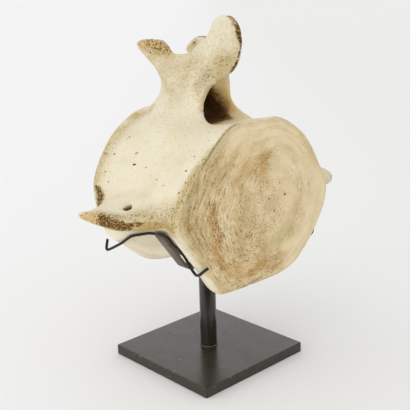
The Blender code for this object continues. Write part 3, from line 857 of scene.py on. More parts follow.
class BoneSkin:
    """The blended skin of the bone as arrays, with the steps that relax and fill it."""

    def __init__(self, mesh: bpy.types.Mesh) -> None:
        """Read the points, and the links between neighbouring ones."""
        self.mesh = mesh
        self.points = read_vectors(mesh, "co")
        links = np.empty(len(mesh.edges) * 2, np.int32)
        mesh.edges.foreach_get("vertices", links)
        links = links.reshape(-1, 2)
        self.here = np.concatenate([links[:, 0], links[:, 1]])
        self.there = np.concatenate([links[:, 1], links[:, 0]])
        self.count = np.maximum(np.bincount(self.here, minlength=len(self.points)), 1)

    def spread(self, values: np.ndarray) -> np.ndarray:
        """Mean of each point's neighbours, for one number or three at each point."""
        columns = values.reshape(len(self.points), -1).T
        sums = [np.bincount(self.here, weights=c[self.there], minlength=len(self.points)) for c in columns]
        return (np.array(sums) / self.count).T.reshape(values.shape)

    def normals(self) -> np.ndarray:
        """Unit normals at the points as they lie now."""
        write_points(self.mesh, self.points)
        return read_vectors(self.mesh, "normal")

    def relax(self, passes: int, strength: Any = 0.5) -> None:
        """Move every point towards the mean of its neighbours, by one share or one each."""
        share = np.broadcast_to(strength, len(self.points))[:, None]
        for _ in range(passes):
            self.points += share * (self.spread(self.points) - self.points)

    def refined(self, chosen: np.ndarray) -> "BoneSkin":
        """Cut the faces between chosen points into four, and round the new points off."""
        write_points(self.mesh, self.points)
        links = np.stack([self.here, self.there], axis=1)[:len(self.mesh.edges)]
        shape = bmesh.new()
        shape.from_mesh(self.mesh)
        shape.edges.ensure_lookup_table()
        cut = [shape.edges[i] for i in np.flatnonzero(chosen[links].all(axis=1))]
        bmesh.ops.subdivide_edges(shape, edges=cut, cuts=1, use_grid_fill=True)
        shape.to_mesh(self.mesh)
        shape.free()
        finer = BoneSkin(self.mesh)
        fresh = np.arange(len(finer.points)) >= len(chosen)
        finer.relax(2, 0.5 * np.minimum(fresh + finer.spread(fresh.astype(float)), 1.0))
        return finer

    def fill_creases(self, passes: int, limit: np.ndarray) -> None:
        """Fill hollows outwards until each is rounder than its limit.

        The offset of the neighbours' mean along the normal is positive in a hollow.
        What it has over the limit moves the point out; crests stay as they are.
        """
        for step in range(passes):
            if step % 3 == 0:
                normal = self.normals()
            pull = self.spread(self.points) - self.points
            rise = np.sum(pull * normal, axis=1)
            lift = np.maximum(rise - limit, 0.0)
            slide = pull - rise[:, None] * normal
            self.points += normal * (0.8 * lift)[:, None] + 0.15 * slide


@dataclass(frozen=True)
class Strip:
    """A strip of the surface round a bent line: rows of x, y, z and half-width, in millimetres."""

    rows: tuple
    soft: float       # width of its border, in half-widths
    strength: float

    def mask(self, points: np.ndarray) -> np.ndarray:
        """The strength on the strip's line, half of it at the border, 0 beyond."""
        return self.strength * np.clip(0.5 + (1 - path_reach(points, self.rows)) / self.soft, 0.0, 1.0)


def strips_of(text: str) -> tuple[Strip, ...]:
    """Read strips from text, parted by semicolons.

    Args:
        text: for each strip the width of its border, its strength and a colon, then the
            rows; a row of three numbers is x, z and half-width on the rear face.

    Returns:
        The strips.
    """
    strips = []
    for words in text.split(";"):
        looks, rows = words.split(":")
        soft, strength = looks.split()
        full = tuple(row if len(row) == 4 else (row[0], FACE_MARKS_Y, *row[1:]) for row in rows_of(rows))
        strips.append(Strip(full, float(soft), float(strength)))
    return tuple(strips)


def covering(points: np.ndarray, strips: tuple) -> np.ndarray:
    """The strongest of several strips at each point."""
    return np.max([strip.mask(points) for strip in strips], axis=0)


@dataclass(frozen=True)
class Marks:
    """Where the bone is worn, porous, stained or pierced, and where light and shade are painted on; all in
    millimetres.
    """

    # worn through to the spongy inside; the strength says how dark the sponge is
    worn: tuple = strips_of(
        # margin of the left side process, tip first
        "1.8 0.16: -190 38 252 4, -186 22 254.5 7.5, -182.5 8 255 8.5; "
        "1.6 0.62: -181.5 4 254 8, -180 -10 252 8, -176.5 -32 251.5 7, -171 -42 251 4.5; "
        "1.4 0.55: -169 -44 254 3, -164 -50 254.5 3.4, -160 -53 255 2; "
        # margin of the right side process
        "1.6 0.5: 213 -12 249 4, 214 -38 249 7, 212 -62 249 7, 204 -74 249 4; "
        # pad on top of the left side plate
        "2 0.16: -51 58 470 7, -52 66 471.5 6, -52 73 473 4; "
        "2 0.33: -42 22 462 7, -46 32 465 8, -49 46 468.5 7, -50 52 469 6; "
        # top of the right side plate
        "1.4 0.4: 42 24 470 5, 46 40 472 6, 48 55 468 5.5, 48 68 463 5, 48 78 454 4; "
        # rear edge of the spine, broken off in two places
        "1.2 0.42: 0 -58 505 3.6, 0 -66 501.5 4.6, 0 -73 494 5.6; "
        "1.2 0.66: 0 -75 491 5.4, 0 -78 486 6.6, 0 -79 479 6, 0 -79 473 3.4; "
        "1 0.62: 0 -79 470 2, 0 -78.5 464 1.7, -1 -77 458 2.2, -1 -74 452 1.6; "
        "1.5 0.6: -1 -71.5 447 1.9, -1 -66 439 2.7, -1 -60 431 1.9; "
        "1.3 0.6: -1 -55 425 1.6, -1 -48 419 1.5, -3 -42 414 1.3; "
        # patch on the left of the front rim
        "2.2 0.56: -136 76 277 3, -136 71 271 7, -136 66 266 7, -136 72 258 5.5, -136 77 248 3; "
        # curl on the far side plate
        "1.4 0.2: 41 64 466 1.6, 38 57 468.5 2, 37 50 465 2.2, 37.5 53 460.5 2, 39 59 460 1.6; "
        # nicks of the front rim
        "1.6 0.5: 127 84 306 2, 131 84 294 4, 135 84 282 5, 137 83 270 2.5; "
        "1.6 0.45: -26 84 154 2, -14 84 152.5 4.5, 0 84 151 3.5, 8 84 151 2")
    # peppered with fine pores, often greenish
    porous: tuple = strips_of(
        "2.2 0.9: -62 69 366 6, -92 70 347 7, -112 72 326 8, -125 73 305 8, -135 74 288 7; "
        "2.2 1: 92 70 345 9, 124 72 305 9, 134 72 285 8; "
        "2 1.1: -78 -102 345 3, -100 -101 328 5, -116 -100 310 8, -130 -99 290 11, -141 -97 270 12, "
        "-146 -96 254 9; "
        "2 1: 104 -99 326 5, 120 -97 306 8, 140 -96 285 9, 150 -94 262 8; "
        "2 1.05: -10 -64 452 8, -10 -54 446 13, -14 -41 436 14, -21 -30 424 10, -30 -25 414 7; "
        "2.4 0.75: -20 -10 446 12, -32 -6 428 13, -36 0 410 10; "
        "2.4 0.6: -37 8 398 12, -42 30 414 13, -44 40 440 10; "
        "2.2 1: 12 -66 452 9, 12 -52 442 15, 14 -36 428 14; "
        "2.4 0.8: -36 8 440 12, -44 26 438 11, -42 30 420 9; "
        "2.2 1.2: -160 -36 264 11, -150 -52 264 14, -143 -72 266 16, -142 -90 268 15; "
        "2 1.1: -180 16 260 6, -176 -8 261 8, -170 -30 261 8, -162 -44 259 7; "
        "2 1.1: -160 -50 255 7, -151 -61 254 8, -144 -74 253 8, -144 -90 254 7; "
        "2 0.35: 12 -27 413 4, 24 -24 399 4, 31 -22 386 4; "
        "2.2 0.5: -84 66 172 5, -70 58 163 6, -60 46 161 5; "
        "2.6 0.4: -140 -98 240 4, -122 -97 215 4, -104 -96 190 4")
    # warm tan stains, soft at the border; two strips under the left process's edge are partly painted shade
    stained: tuple = strips_of(
        "2 0.8: -44 18 456 10, -52 44 456 9, -54 62 464 8; "
        "2.2 0.6: -46 46 424 12, -49 56 404 11, -50 60 386 8; "
        "2 0.8: -34 -36 384 6, -28 -34 396 6, -14 -33 410 6; "
        "2.4 0.8: -8 -70 452 9, -10 -56 440 11, -8 -44 424 9; "
        # under the left process's edge: stain and painted shade
        "2 0.95: -184 14 252 12, -180 -16 249 12, -168 -42 247 10, -152 -66 244 9, -142 -86 242 8; "
        "2.4 0.5: -150 -2 268 6, -146 -10 269 7; "
        "2 0.5: -138 70 268 13, -137 60 268 12; "
        "2 0.8: 206 -40 250 22, 196 0 252 18; "
        "2 0.5: 44 40 470 12, 46 66 462 10; "
        "2 0.6: 0 -66 500 9, 0 -76 480 10, 0 -70 450 9; "
        "2.2 0.75: -104 -100 325 6, -120 -99 305 9, -133 -98 283 11, -144 -97 260 11; "
        "2.4 0.35: -155 -44 262 10, -147 -56 262 12, -142 -72 262 12, -142 -90 262 11; "
        "2 0.6: 38 50 458 14, 39 66 455 14; "
        "2 0.35: 184 -70 260 12, 200 -73 252 13; "
        "2 0.9: 214 -50 250 20, 206 -10 252 26; "
        "2.2 0.35: -84 66 172 8, -70 58 163 9, -60 46 161 7; "
        "2.6 0.45: -40 -92 370 10, 0 -90 367 13, 40 -90 366 10; "
        "2.2 0.45: -150 -94 262 6, -148 -104 256 7, -138 -105 240 5; "
        # under the left process's edge again: stain and painted shade
        "2 1.2: -162 -48 252 6, -153 -60 252 7, -145 -73 251 8, -145 -90 253 8; "
        "2.2 0.85: -52 52 446 8, -48 56 425 8, -45 58 400 8, -48 62 378 9, -66 78 366 8; "
        "2.2 0.8: -90 80 352 7, -114 81 328 7, -130 81 300 7, -136 80 276 7; "
        "2 0.45: -138 -104 244 3, -122 -103 220 3.5, -106 -102 196 3.5, -92 -102 174 4; "
        "2.6 0.46: -8 -52 470 26, -16 -40 440 28, -34 4 424 26; "
        "2.6 0.4: -46 20 372 24, -38 24 400 26, -44 40 430 24; "
        "2.6 0.42: 8 -52 470 26, 16 -40 440 28, 34 4 424 26; "
        "2.4 0.55: -28 -4 440 12, -24 -16 420 12, -30 -24 402 9; "
        "2.4 0.7: -13 -44 445 12, -12 -58 452 10")
    # browner below the left process's edge, partly dirt and partly painted shade; a strength of 0.2 makes it
    # brown
    under_ledge_dirt_and_shade: tuple = strips_of(
        "2.4 0.2: -163 -51 249 4, -153 -63 249 5, -145 -76 249 5, -144 -92 250 4")
    # golden tan, partly the bone's own colour and partly painted light, on the canal's right wall and the top
    # of the drum behind the arch
    golden: tuple = strips_of(
        "1.6 0.95: 8 -28 416 8, 22 -24 400 10, 30 -22 386 10, 34 -24 372 9; "
        "2.2 0.65: 34 -30 364 8, 40 -40 361 9, 50 -54 359 9, 60 -66 356 8; "
        "2.4 0.42: -32 -62 364 12, -2 -50 360 14, 22 -48 361 14, 18 -76 365 12")
    # painted light: the dim lower left of the drum, front and rear, made almost white
    bleached: tuple = strips_of(
        "1.4 1: -112 72 196 16, -96 74 180 18, -76 64 164 18, -56 44 156 18, -50 14 164 16; "
        "1.8 0.8: -118 -88 222 7, -104 -90 198 8, -90 -92 178 8, -74 -94 160 7")
    # brown and orange marks of the rear face
    face_brown: tuple = strips_of(
        "2.4 0.5: -31 284 5, -33 255 6, -31 226 6, -8 201 7, 10 199 7; "
        "2.2 0.58: -88 276 9, -78 246 11, -72 220 11; "
        "2.4 0.42: -98 226 10, -84 204 11, -63 180 11, -40 190 9; "
        "2.4 0.34: -17 160 9, 8 170 10, 45 170 8; "
        "2.2 0.28: -82 172 9, -62 154 8, -30 150 8; "
        "2.2 0.36: 20 318 8, -12 301 8, 8 285 8; "
        "2.4 0.3: 4 274 16, 26 254 20, 36 228 15; "
        "2.4 0.4: -105 300 10, -92 318 9, -72 336 8; "
        "1.8 0.5: -40 148 5, -18 147 5, 10 150 5, 40 158 4; "
        "2.2 0.55: -108 312 6, -124 284 8, -130 260 9, -118 232 9; "
        "2.6 0.2: 74 300 6, 88 262 6, 86 222 6, 66 192 6; "
        "1.4 0.24: -80 300 40, -70 230 42, -30 190 34, 10 240 34; "
        "1.8 0.34: -104 300 16, -116 262 18, -104 222 16")
    face_orange: tuple = strips_of(
        "2.4 0.82: 22 320 8, 6 309 11, -14 302 10; "
        "2.4 0.78: 4 300 10, 9 284 9; "
        "2.4 0.85: -78 216 9, -62 184 11, -24 164 10, 14 166 9; "
        "2.4 0.8: -88 264 6, -80 238 8, -76 224 7; "
        "2.4 0.5: 46 176 8, 62 172 7")
    # pale and greyish-green parts of the rear face
    face_pale: tuple = strips_of(
        "2.2 0.8: -56 292 8, -59 254 10, -54 222 9; "
        "2.2 0.95: 100 334 6, 128 300 7, 145 255 8, 134 214 7, 100 170 6, 60 149 5; "
        "2.4 0.85: -40 356 12, 5 358 12, 66 338 12, 108 296 14, 124 245 14, 104 200 14; "
        "2.6 0.45: 60 290 14, 70 250 14, 52 215 14; "
        "2.2 1: 42 322 10, 62 308 13, 76 288 11; "
        "2.4 1: 110 235 16, 98 196 18, 66 180 12")
    face_green: tuple = strips_of(
        "2.2 0.8: -112 306 8, -128 282 9, -132 258 10, -122 236 10, -106 212 8; "
        "2.2 0.7: -96 330 9, -70 354 9; "
        "2.4 0.5: -20 268 10, -20 240 10, 8 214 9; "
        "2.4 0.5: 66 210 12, 40 196 9")
    # small vessel holes: x, y, z, radius
    holes: tuple = rows_of(
        "-92.2 -81.7 335.1 0.9, -107.1 -81.5 319 1.4, -117.6 -91.5 307.5 1.05, -125.9 -87.7 295.2 1.25, "
        "-131.7 -100 288.5 1, -137.4 -88 277.1 1.15, -140.8 -77 264.4 0.9, -143.9 -95.1 248.8 1, "
        "-72.6 -87.7 353.4 0.8, -58.1 -73.3 360.2 0.8, -112.8 60.4 322 1.1, -99.7 28.5 325.1 1, "
        "-97.6 26.5 325.6 0.8, -107.9 24.4 311.4 1.4, -106.9 22 312 1, -104.7 1.6 310.7 0.8, "
        "-111.2 -27.4 299.4 0.8, -116.2 -47.1 296 0.8, -130.1 54.1 286.6 0.9, -127.3 63.4 299.1 0.9, "
        "-117.4 76.5 322.1 1, -109.2 75.9 333.2 0.9, -90.5 53.2 343.5 0.8, -52.5 46 456 1.1, -60 20 195 1.3, "
        "-48 -30 185 1.2, -20 10 168 1.6, 22 -20 168 1.4, 30 30 172 1, 55 -35 184 1.2, -30 -60 172 1, "
        "38 -66 174 1.2, 18.6 -106 283 0.9, 55.8 -105.2 259.2 1.5, 22.8 -105 258.9 1.3, 34 -105 239 1.2, "
        "-17 -105 221 1.1, 107 -105 264 0.8, 45 -105 278 0.8, -30 85 250 1.1, 20 85 290 1, -8 85 215 0.9, "
        "46 85 236 0.9, 38 55.5 463.5 1.3")
    # the far side has the left side's holes, mirrored and shifted by this
    far_shift: tuple = (3.0, 6.5, -4.0)
    # the two large vessel holes of the side processes: x, y, z, radius, depth
    channels: tuple = rows_of(
        "-149.5 -13 269.5 6 16, 155 -8 268 6.4 16")
    # nicks of the rear rim: x, y, z, radius
    nicks: tuple = rows_of(
        "-15 -107 145 3.2, -60 -107 146.5 2.6, 22 -107 147.5 2.2, 96 -106 168 2.4")


@dataclass(frozen=True)
class Relief:
    """How far the bone's surface is raised or sunk, in millimetres or in a hole's radii."""

    slow_swell: float = 0.45
    fine_swell: float = 0.06
    ring_wave: float = 0.35
    face_dish: float = 0.9
    rim_groove: float = 0.9
    sponge_sink: float = 0.4
    sponge_pit: float = 1.2
    bowl_radii: float = 2.2
    nick_radii: float = 0.55
    # a channel's way outwards, forwards and up, how ragged and flared its mouth is, and how dark its mouth is
    # painted, as dirt and painted shade
    channel_way: tuple = (0.18, 0.10, -1.0)
    channel_ragged: float = 0.30
    channel_flare: float = 0.12
    channel_painted_shade: float = 0.84


@dataclass(frozen=True)
class Vertebra:
    """The whole bone: its forms, how they blend, and its worn surface."""

    centrum: Centrum = Centrum()
    processes: Processes = Processes()
    canal: NeuralCanal = NeuralCanal()
    marks: Marks = Marks()
    relief: Relief = Relief()
    voxel: float = 0.0027
    blend_passes: int = 320
    lip_passes: int = 14
    # how far round a hole the skin is made finer, in radii, and how much less round a channel
    finer_reach: tuple = (6.0, 3.2)
    channel_share: float = 2.4
    wide_fillet: float = 0.026
    tight_fillet: float = 0.007
    # groove of the rear rim: angle in degrees from the animal's right, and strength
    groove: tuple = ((0, 0.3), (60, 0.6), (100, 0.75), (112, 1.0), (142, 1.0), (152, 0.45), (178, 0.35),
                     (190, 0.1), (225, 0.15), (255, 0.4), (300, 0.3), (360, 0.3))

    def pierced(self, form: Surface) -> bpy.types.Mesh:
        """A form with the canal cut through it."""
        block = new_object("uncut_form", form.mesh("uncut_form"))
        cutter = new_object("canal_cutter", self.canal.cutter().mesh("canal_cutter"))
        cut = block.modifiers.new("canal", "BOOLEAN")
        cut.operation = "DIFFERENCE"
        cut.object = cutter
        mesh = worked_mesh(block)
        bpy.data.objects.remove(cutter, do_unlink=True)
        return mesh

    def blended(self) -> bpy.types.Mesh:
        """All forms joined into one closed skin by a voxel remesh."""
        shapes = self.processes
        solid = Surface.joined([
            self.centrum.surface(),
            shapes.plate(shapes.plate_root + shapes.left_plate, Side.LEFT),
            shapes.plate(shapes.plate_root + shapes.right_plate, Side.RIGHT),
            shapes.side_process(shapes.left_side, Side.LEFT),
            shapes.side_process(shapes.right_side, Side.RIGHT),
        ]).mesh("bone_forms")
        shape = bmesh.new()
        shape.from_mesh(solid)
        for rows, squareness in ((shapes.arch, 4.0), (shapes.spine, 2.4)):
            shape.from_mesh(self.pierced(shapes.upright(rows, squareness)))
        shape.to_mesh(solid)
        shape.free()
        bone = new_object("bone_forms", solid)
        remesh = bone.modifiers.new("blend", "REMESH")
        remesh.mode = "VOXEL"
        remesh.voxel_size = self.voxel
        return worked_mesh(bone)

    def fillet_radius(self, points: np.ndarray) -> np.ndarray:
        """Radius to which creases are filled: wide on the flanks, tight near rims and canal."""
        x, y, z = points.T
        radius = self.wide_fillet - 0.015 * smoothstep(0.412, 0.440, z)
        near_rim = smoothstep(0.050, 0.075, y) + smoothstep(0.055, 0.085, -y)
        in_canal = (1 - smoothstep(0.026, 0.034, np.abs(x))) * smoothstep(0.330, 0.345, z) \
            * (1 - smoothstep(0.400, 0.410, z))
        notch = smoothstep(0.445, 0.455, z) * smoothstep(0.006, 0.014, y)
        tight = np.clip(near_rim + in_canal + notch, 0.0, 1.0)
        return radius * (1 - tight) + self.tight_fillet * tight

    def canal_depth(self, points: np.ndarray) -> np.ndarray:
        """How deep a point of the canal's wall lies behind the nearer opening, 0 elsewhere."""
        x, y, z = points.T
        rows = np.array(self.processes.arch)
        rear, front = np.interp(z, rows[:, 0], rows[:, 1]), np.interp(z, rows[:, 0], rows[:, 2])
        middle = (self.canal.floor + self.canal.peak) / 2
        reach = np.hypot(x / 0.033, (z - middle) / (self.canal.peak - middle + 0.004))
        inside = 1 - smoothstep(0.98, 1.12, reach)
        return inside * np.clip(np.minimum(y - rear, front - y), 0.0, None)

    def worn_mask(self, points: np.ndarray) -> tuple[np.ndarray, np.ndarray]:
        """1 where the skin is worn through, fading over its border, and how dark the sponge is."""
        masks = np.array([strip.mask(points) / strip.strength for strip in self.marks.worn])
        dark = np.array([strip.strength for strip in self.marks.worn])[:, None]
        return masks.max(axis=0), (masks * dark).max(axis=0) / np.maximum(masks.max(axis=0), 0.05)

    def hole_places(self, points: np.ndarray) -> tuple[np.ndarray, np.ndarray]:
        """Vessel holes moved onto the nearest point of the skin: each one's point and radius."""
        near = np.array(self.marks.holes)
        far = near[near[:, 0] < -50] * (-1, 1, 1, 1) + (*self.marks.far_shift, 0.0)
        rows = np.vstack([near, far]) * MM
        nearest = [int(np.argmin(np.sum((points - row[:3]) ** 2, axis=1))) for row in rows]
        return np.array(nearest), rows[:, 3]

    def build(self) -> None:
        """Build the bone's mesh, wear its surface and dress it."""
        skin = BoneSkin(self.blended())
        skin.relax(2)
        skin.fill_creases(self.blend_passes, self.voxel ** 2 / (4 * self.fillet_radius(skin.points)))
        skin.relax(2)
        # the arch's rear lip is rounded off further
        x, y, z = skin.points.T
        lip = (1 - smoothstep(0.034, 0.042, np.abs(x))) * smoothstep(0.345, 0.360, z) \
            * (1 - smoothstep(0.430, 0.445, z)) * smoothstep(0.015, 0.025, -y)
        skin.relax(self.lip_passes, 0.5 * lip)
        # finer where small forms follow: worn strips and rims once, vessel holes twice more
        worn = self.worn_mask(skin.points)[0]
        ring = self.centrum.rear_rings(skin.points)[0]
        rim = smoothstep(0.098, 0.102, -skin.points[:, 1]) * smoothstep(0.90, 0.93, ring)
        skin = skin.refined((worn > 0.02) | (rim > 0.5))
        for reach in self.finer_reach:
            near = np.zeros(len(skin.points), bool)
            for hole, radius in zip(*self.hole_places(skin.points)):
                near |= np.linalg.norm(skin.points - skin.points[hole], axis=1) < radius * reach
            for *place, radius, _ in np.array(self.marks.channels) * MM:
                near |= np.linalg.norm(skin.points - place, axis=1) < radius * reach / self.channel_share
            skin = skin.refined(near)
        self.shape_surface(skin)
        write_points(skin.mesh, skin.points)
        dressed("vertebra_bone", skin.mesh, BoneFinish().build(), "vertebra")

    def shape_surface(self, skin: BoneSkin) -> None:
        """Wear, ring, pit and pierce the surface, and store the masks of the finish.

        Points move along their normals by a depth worked out for all of them at once
        from noise, strips and growth rings, and then at the holes.
        """
        points, normal, relief = skin.points.copy(), skin.normals(), self.relief
        x, y, z = points.T
        rear_ring, rear_angle = self.centrum.rear_rings(points)
        front_ring, front_angle = self.centrum.front_rings(points)
        rear = smoothstep(0.35, 0.65, -normal[:, 1]) * (y < -0.098) * (rear_ring < 1.01)
        front = smoothstep(0.55, 0.9, normal[:, 1]) * (y > 0.077) * (front_ring < 1.0)
        face = np.maximum(rear, front)
        ring = np.where(y < 0, rear_ring, front_ring)
        angle = np.where(y < 0, rear_angle, front_angle)
        ragged = 0.35 * layered_noise(points, 0.005, 2, 5)
        worn = smoothstep(0.35, 0.65, self.worn_mask(points)[0] + 0.5 * ragged)
        depth = self.canal_depth(points)
        # slow unevenness of old bone, weaker beside the wires that carry it
        wires = np.min([path_reach(points, [(*row, 6.0) for row in route])
                        for route in (Cradle.left_route, Cradle.right_route)], axis=0)
        free = smoothstep(0.6, 2.0, wires)
        lift = relief.slow_swell * MM * layered_noise(points, 0.042, 3, 1) * free
        lift += relief.fine_swell * MM * layered_noise(points, 0.010, 2, 7) * free
        # growth rings: low waves that follow the outline
        swell = np.sin(2 * math.pi * (3.2 * ring + 0.25 * solid_noise(points, 0.05, 3)) + 0.6)
        swell *= relief.ring_wave * smoothstep(0.15, 0.4, ring)
        lift += face * MM * (swell - relief.face_dish * (1 - ring ** 2))
        # rough groove along the rear rim, deepest at the upper left
        turn = np.degrees(np.arctan2(z - self.centrum.centre_z, x)) % 360
        strength = np.interp(turn, *zip(*self.groove))
        crest = np.exp(-((rear_ring - 0.985 + 0.004 * ragged) / 0.008) ** 2) * smoothstep(0.099, 0.103, -y)
        rough = strength * crest * (0.55 + 0.9 * solid_noise(points, 0.004, 9))
        lift -= relief.rim_groove * MM * np.clip(rough, 0.0, 1.0)
        # spongy inside: sunk a little, with pits between fine walls
        sponge = np.minimum(cell_pits(points, 0.0040, 51) * 1.25, 1.0)
        lift -= worn * free * MM * (relief.sponge_sink + relief.sponge_pit * (1 - sponge))
        points += normal * lift[:, None]
        # dirt and painted shade in the canal, darker the deeper the wall lies, in blotches of 5 mm
        blotch = 1 + 0.3 * solid_noise(points, 0.005, 33)
        hollow = np.maximum(0.82 * smoothstep(0.008, 0.044, depth * blotch), self.sink_holes(points, normal))
        skin.points = points
        opened, dark = self.worn_mask(points)
        masks = {"worn": opened, "sponge_dark": dark, "face": face, "ring": ring, "ring_cos": np.cos(angle),
                 "ring_sin": np.sin(angle), "rough_rim": np.clip(strength * crest, 0.0, 1.0),
                 "hollow": np.maximum(hollow, np.minimum(covering(points, self.marks.under_ledge_dirt_and_shade), 1.0))}
        for name in ("porous", "stained", "bleached", "golden"):
            masks[name] = covering(points, getattr(self.marks, name))
        # the front face bears the same kinds of marks, turned about
        turned = np.stack([-x, np.full(len(x), FACE_MARKS_Y * MM), 0.520 - z], axis=1)
        for name in ("face_brown", "face_orange", "face_pale", "face_green"):
            strips = getattr(self.marks, name)
            masks[name] = covering(points, strips) * rear + covering(turned, strips) * front
        for name, values in masks.items():
            write_mask(skin.mesh, name, values)

    def sink_holes(self, points: np.ndarray, normal: np.ndarray) -> np.ndarray:
        """Sink the vessel holes as bowls, the rim's nicks, and the two channels, in place.

        Args:
            points: the points, which are moved.
            normal: their normals.

        Returns:
            How far inside a hole each point lies, from 0 to 1, which the finish paints dark as dirt and
            shade.
        """
        relief, hollow = self.relief, np.zeros(len(points))
        outwards, forwards, up = relief.channel_way
        for hole, radius in zip(*self.hole_places(points)):
            near = np.linalg.norm(points - points[hole], axis=1) / radius
            bowl = np.sqrt(np.clip(1 - near ** 2, 0.0, 1.0))
            points -= normal[hole] * (relief.bowl_radii * radius * bowl)[:, None]
            hollow = np.maximum(hollow, 1 - smoothstep(0.75, 1.25, near))
        for *place, radius in np.array(self.marks.nicks) * MM:
            near = np.linalg.norm(points - place, axis=1) / (2 * radius)
            points[:, 2] += relief.nick_radii * radius * np.clip(1 - near ** 2, 0.0, 1.0)
        for *place, radius, deep in np.array(self.marks.channels) * MM:
            axis = np.array((outwards * np.sign(place[0]), forwards, up))
            axis /= np.linalg.norm(axis)
            away = points - place
            near = np.linalg.norm(away - (away @ axis)[:, None] * axis, axis=1) / radius
            near *= 1 + relief.channel_ragged * solid_noise(points, 0.006, 71)
            here = np.linalg.norm(away, axis=1) < 2 * radius
            flare = relief.channel_flare * (1 - smoothstep(0.8, 1.7, near))
            sink = np.clip(1 - near ** 3, 0.0, 1.0) * here + flare * here
            points += axis * (deep * sink)[:, None]
            hollow = np.maximum(hollow, here * relief.channel_painted_shade * smoothstep(0.08, 0.45, sink))
        return hollow


# ---------------------------------------------------------------------- the stand
def swept(path: np.ndarray, profile: np.ndarray, hint: tuple, size: Any = 1.0) -> np.ndarray:
    """Carry a flat closed profile along a path.

    Point j of ring i is path_i + size_i * (a_j * side_i + b_j * lift_i), where side
    is the hint made square to the path and lift is the path's direction x side.

    Args:
        path: m points.
        profile: n pairs (a, b).
        hint: a direction that the path never takes.
        size: one factor, or one for each ring.

    Returns:
        The rings, m by n by 3.
    """
    along = np.gradient(path, axis=0)
    along /= np.linalg.norm(along, axis=1)[:, None]
    side = np.array(hint) - (along @ np.array(hint))[:, None] * along
    side /= np.linalg.norm(side, axis=1)[:, None]
    lift = np.cross(along, side)
    grown = np.broadcast_to(size, len(path))[:, None, None] * profile[None]
    return path[:, None] + grown[..., :1] * side[:, None] + grown[..., 1:] * lift[:, None]


def rounded_ends(path: np.ndarray, radius: float, blunt: float) -> tuple[np.ndarray, np.ndarray]:
    """Add three shrinking stations inside both ends of a path, for a softly cut end.

    Returns:
        The path with its stations, and the size at each.
    """
    tip = np.array([0.0, 0.25, 0.65])
    size = np.array([1 - blunt, 1 - 0.35 * blunt, 1 - 0.05 * blunt])
    first, last = (end + (nearby - end) / np.linalg.norm(nearby - end) * (tip * radius * blunt)[:, None]
                   for end, nearby in ((path[0], path[1]), (path[-1], path[-2])))
    whole = np.vstack([first, path[1:-1], last[::-1]])
    return whole, np.concatenate([size, np.ones(len(path) - 2), size[::-1]])


def round_profile(radius: float, points: int) -> np.ndarray:
    """A circle of so many points."""
    angle = np.linspace(0.0, 2 * math.pi, points, endpoint=False)
    return radius * np.stack([np.cos(angle), np.sin(angle)], axis=1)


def bar_profile(width: float, height: float, corner: float, steps: int = 5) -> np.ndarray:
    """A rectangle with quarter-circle corners."""
    bend = np.linspace(0.0, math.pi / 2, steps)
    arcs = []
    for turn, (a, b) in enumerate([(1, 1), (-1, 1), (-1, -1), (1, -1)]):
        angle = bend + turn * math.pi / 2
        arcs.append(np.stack([a * (width / 2 - corner) + corner * np.cos(angle),
                              b * (height / 2 - corner) + corner * np.sin(angle)], axis=1))
    return np.vstack(arcs)


@dataclass(frozen=True)
class BasePlate:
    """The square steel plate, sawn from bar and eased along its edges."""

    side: float = 0.200
    thickness: float = 0.015
    ease: float = 0.0011
    corner: float = 0.0022
    points_a_side: int = 44

    def outline(self, inset: float) -> np.ndarray:
        """Square with quarter-circle corners, inset from the full size."""
        half = self.side / 2 - inset
        corner = max(self.corner - inset, 0.0004)
        straight = np.linspace(-half + corner, half - corner, self.points_a_side)
        bend = np.linspace(0.0, math.pi / 2, 6)[1:-1]
        edge = np.vstack([np.stack([np.full_like(straight, half), straight], axis=1),
                          np.stack([half - corner + corner * np.cos(bend),
                                    half - corner + corner * np.sin(bend)], axis=1)])
        turns = [np.array([[math.cos(a), math.sin(a)], [-math.sin(a), math.cos(a)]])
                 for a in (0, math.pi / 2, math.pi, 3 * math.pi / 2)]
        return np.vstack([edge @ turn for turn in turns])

    def build(self) -> None:
        """Stack outlines from the underside, round both edges, to the top."""
        bend = np.linspace(0.0, math.pi / 2, 5)
        inset = [0.05, 0.012, 0.003, *(self.ease * (1 - np.sin(bend))), *(self.ease * (1 - np.cos(bend))),
                 0.003, 0.012, 0.05]
        top = self.thickness
        z = [0.0, 0.0, 0.0, *(self.ease * (1 - np.cos(bend))),
             *(top - self.ease * (1 - np.sin(bend))), top, top, top]
        rings = np.stack([np.column_stack([self.outline(i), np.full(4 * (self.points_a_side + 4), h)])
                          for i, h in zip(inset, z)])
        points = rings.reshape(-1, 3)
        waver = solid_noise(points, 0.035, 11) * 0.10 * MM + solid_noise(points, 0.006, 12) * 0.04 * MM
        near_edge = smoothstep(0.094, 0.0985, np.abs(points[:, :2]).max(axis=1))
        points[:, :2] *= (1 - (waver + 0.14 * MM) * near_edge / 0.1)[:, None]
        finish = SteelFinish("satin_black_plate_steel", "2f2716", 0.27, gloss=0.5, dust=1.0).build()
        mesh = Surface.tube(rings).mesh("steel_base_plate")
        dressed("steel_base_plate", mesh, finish, "base_plate")


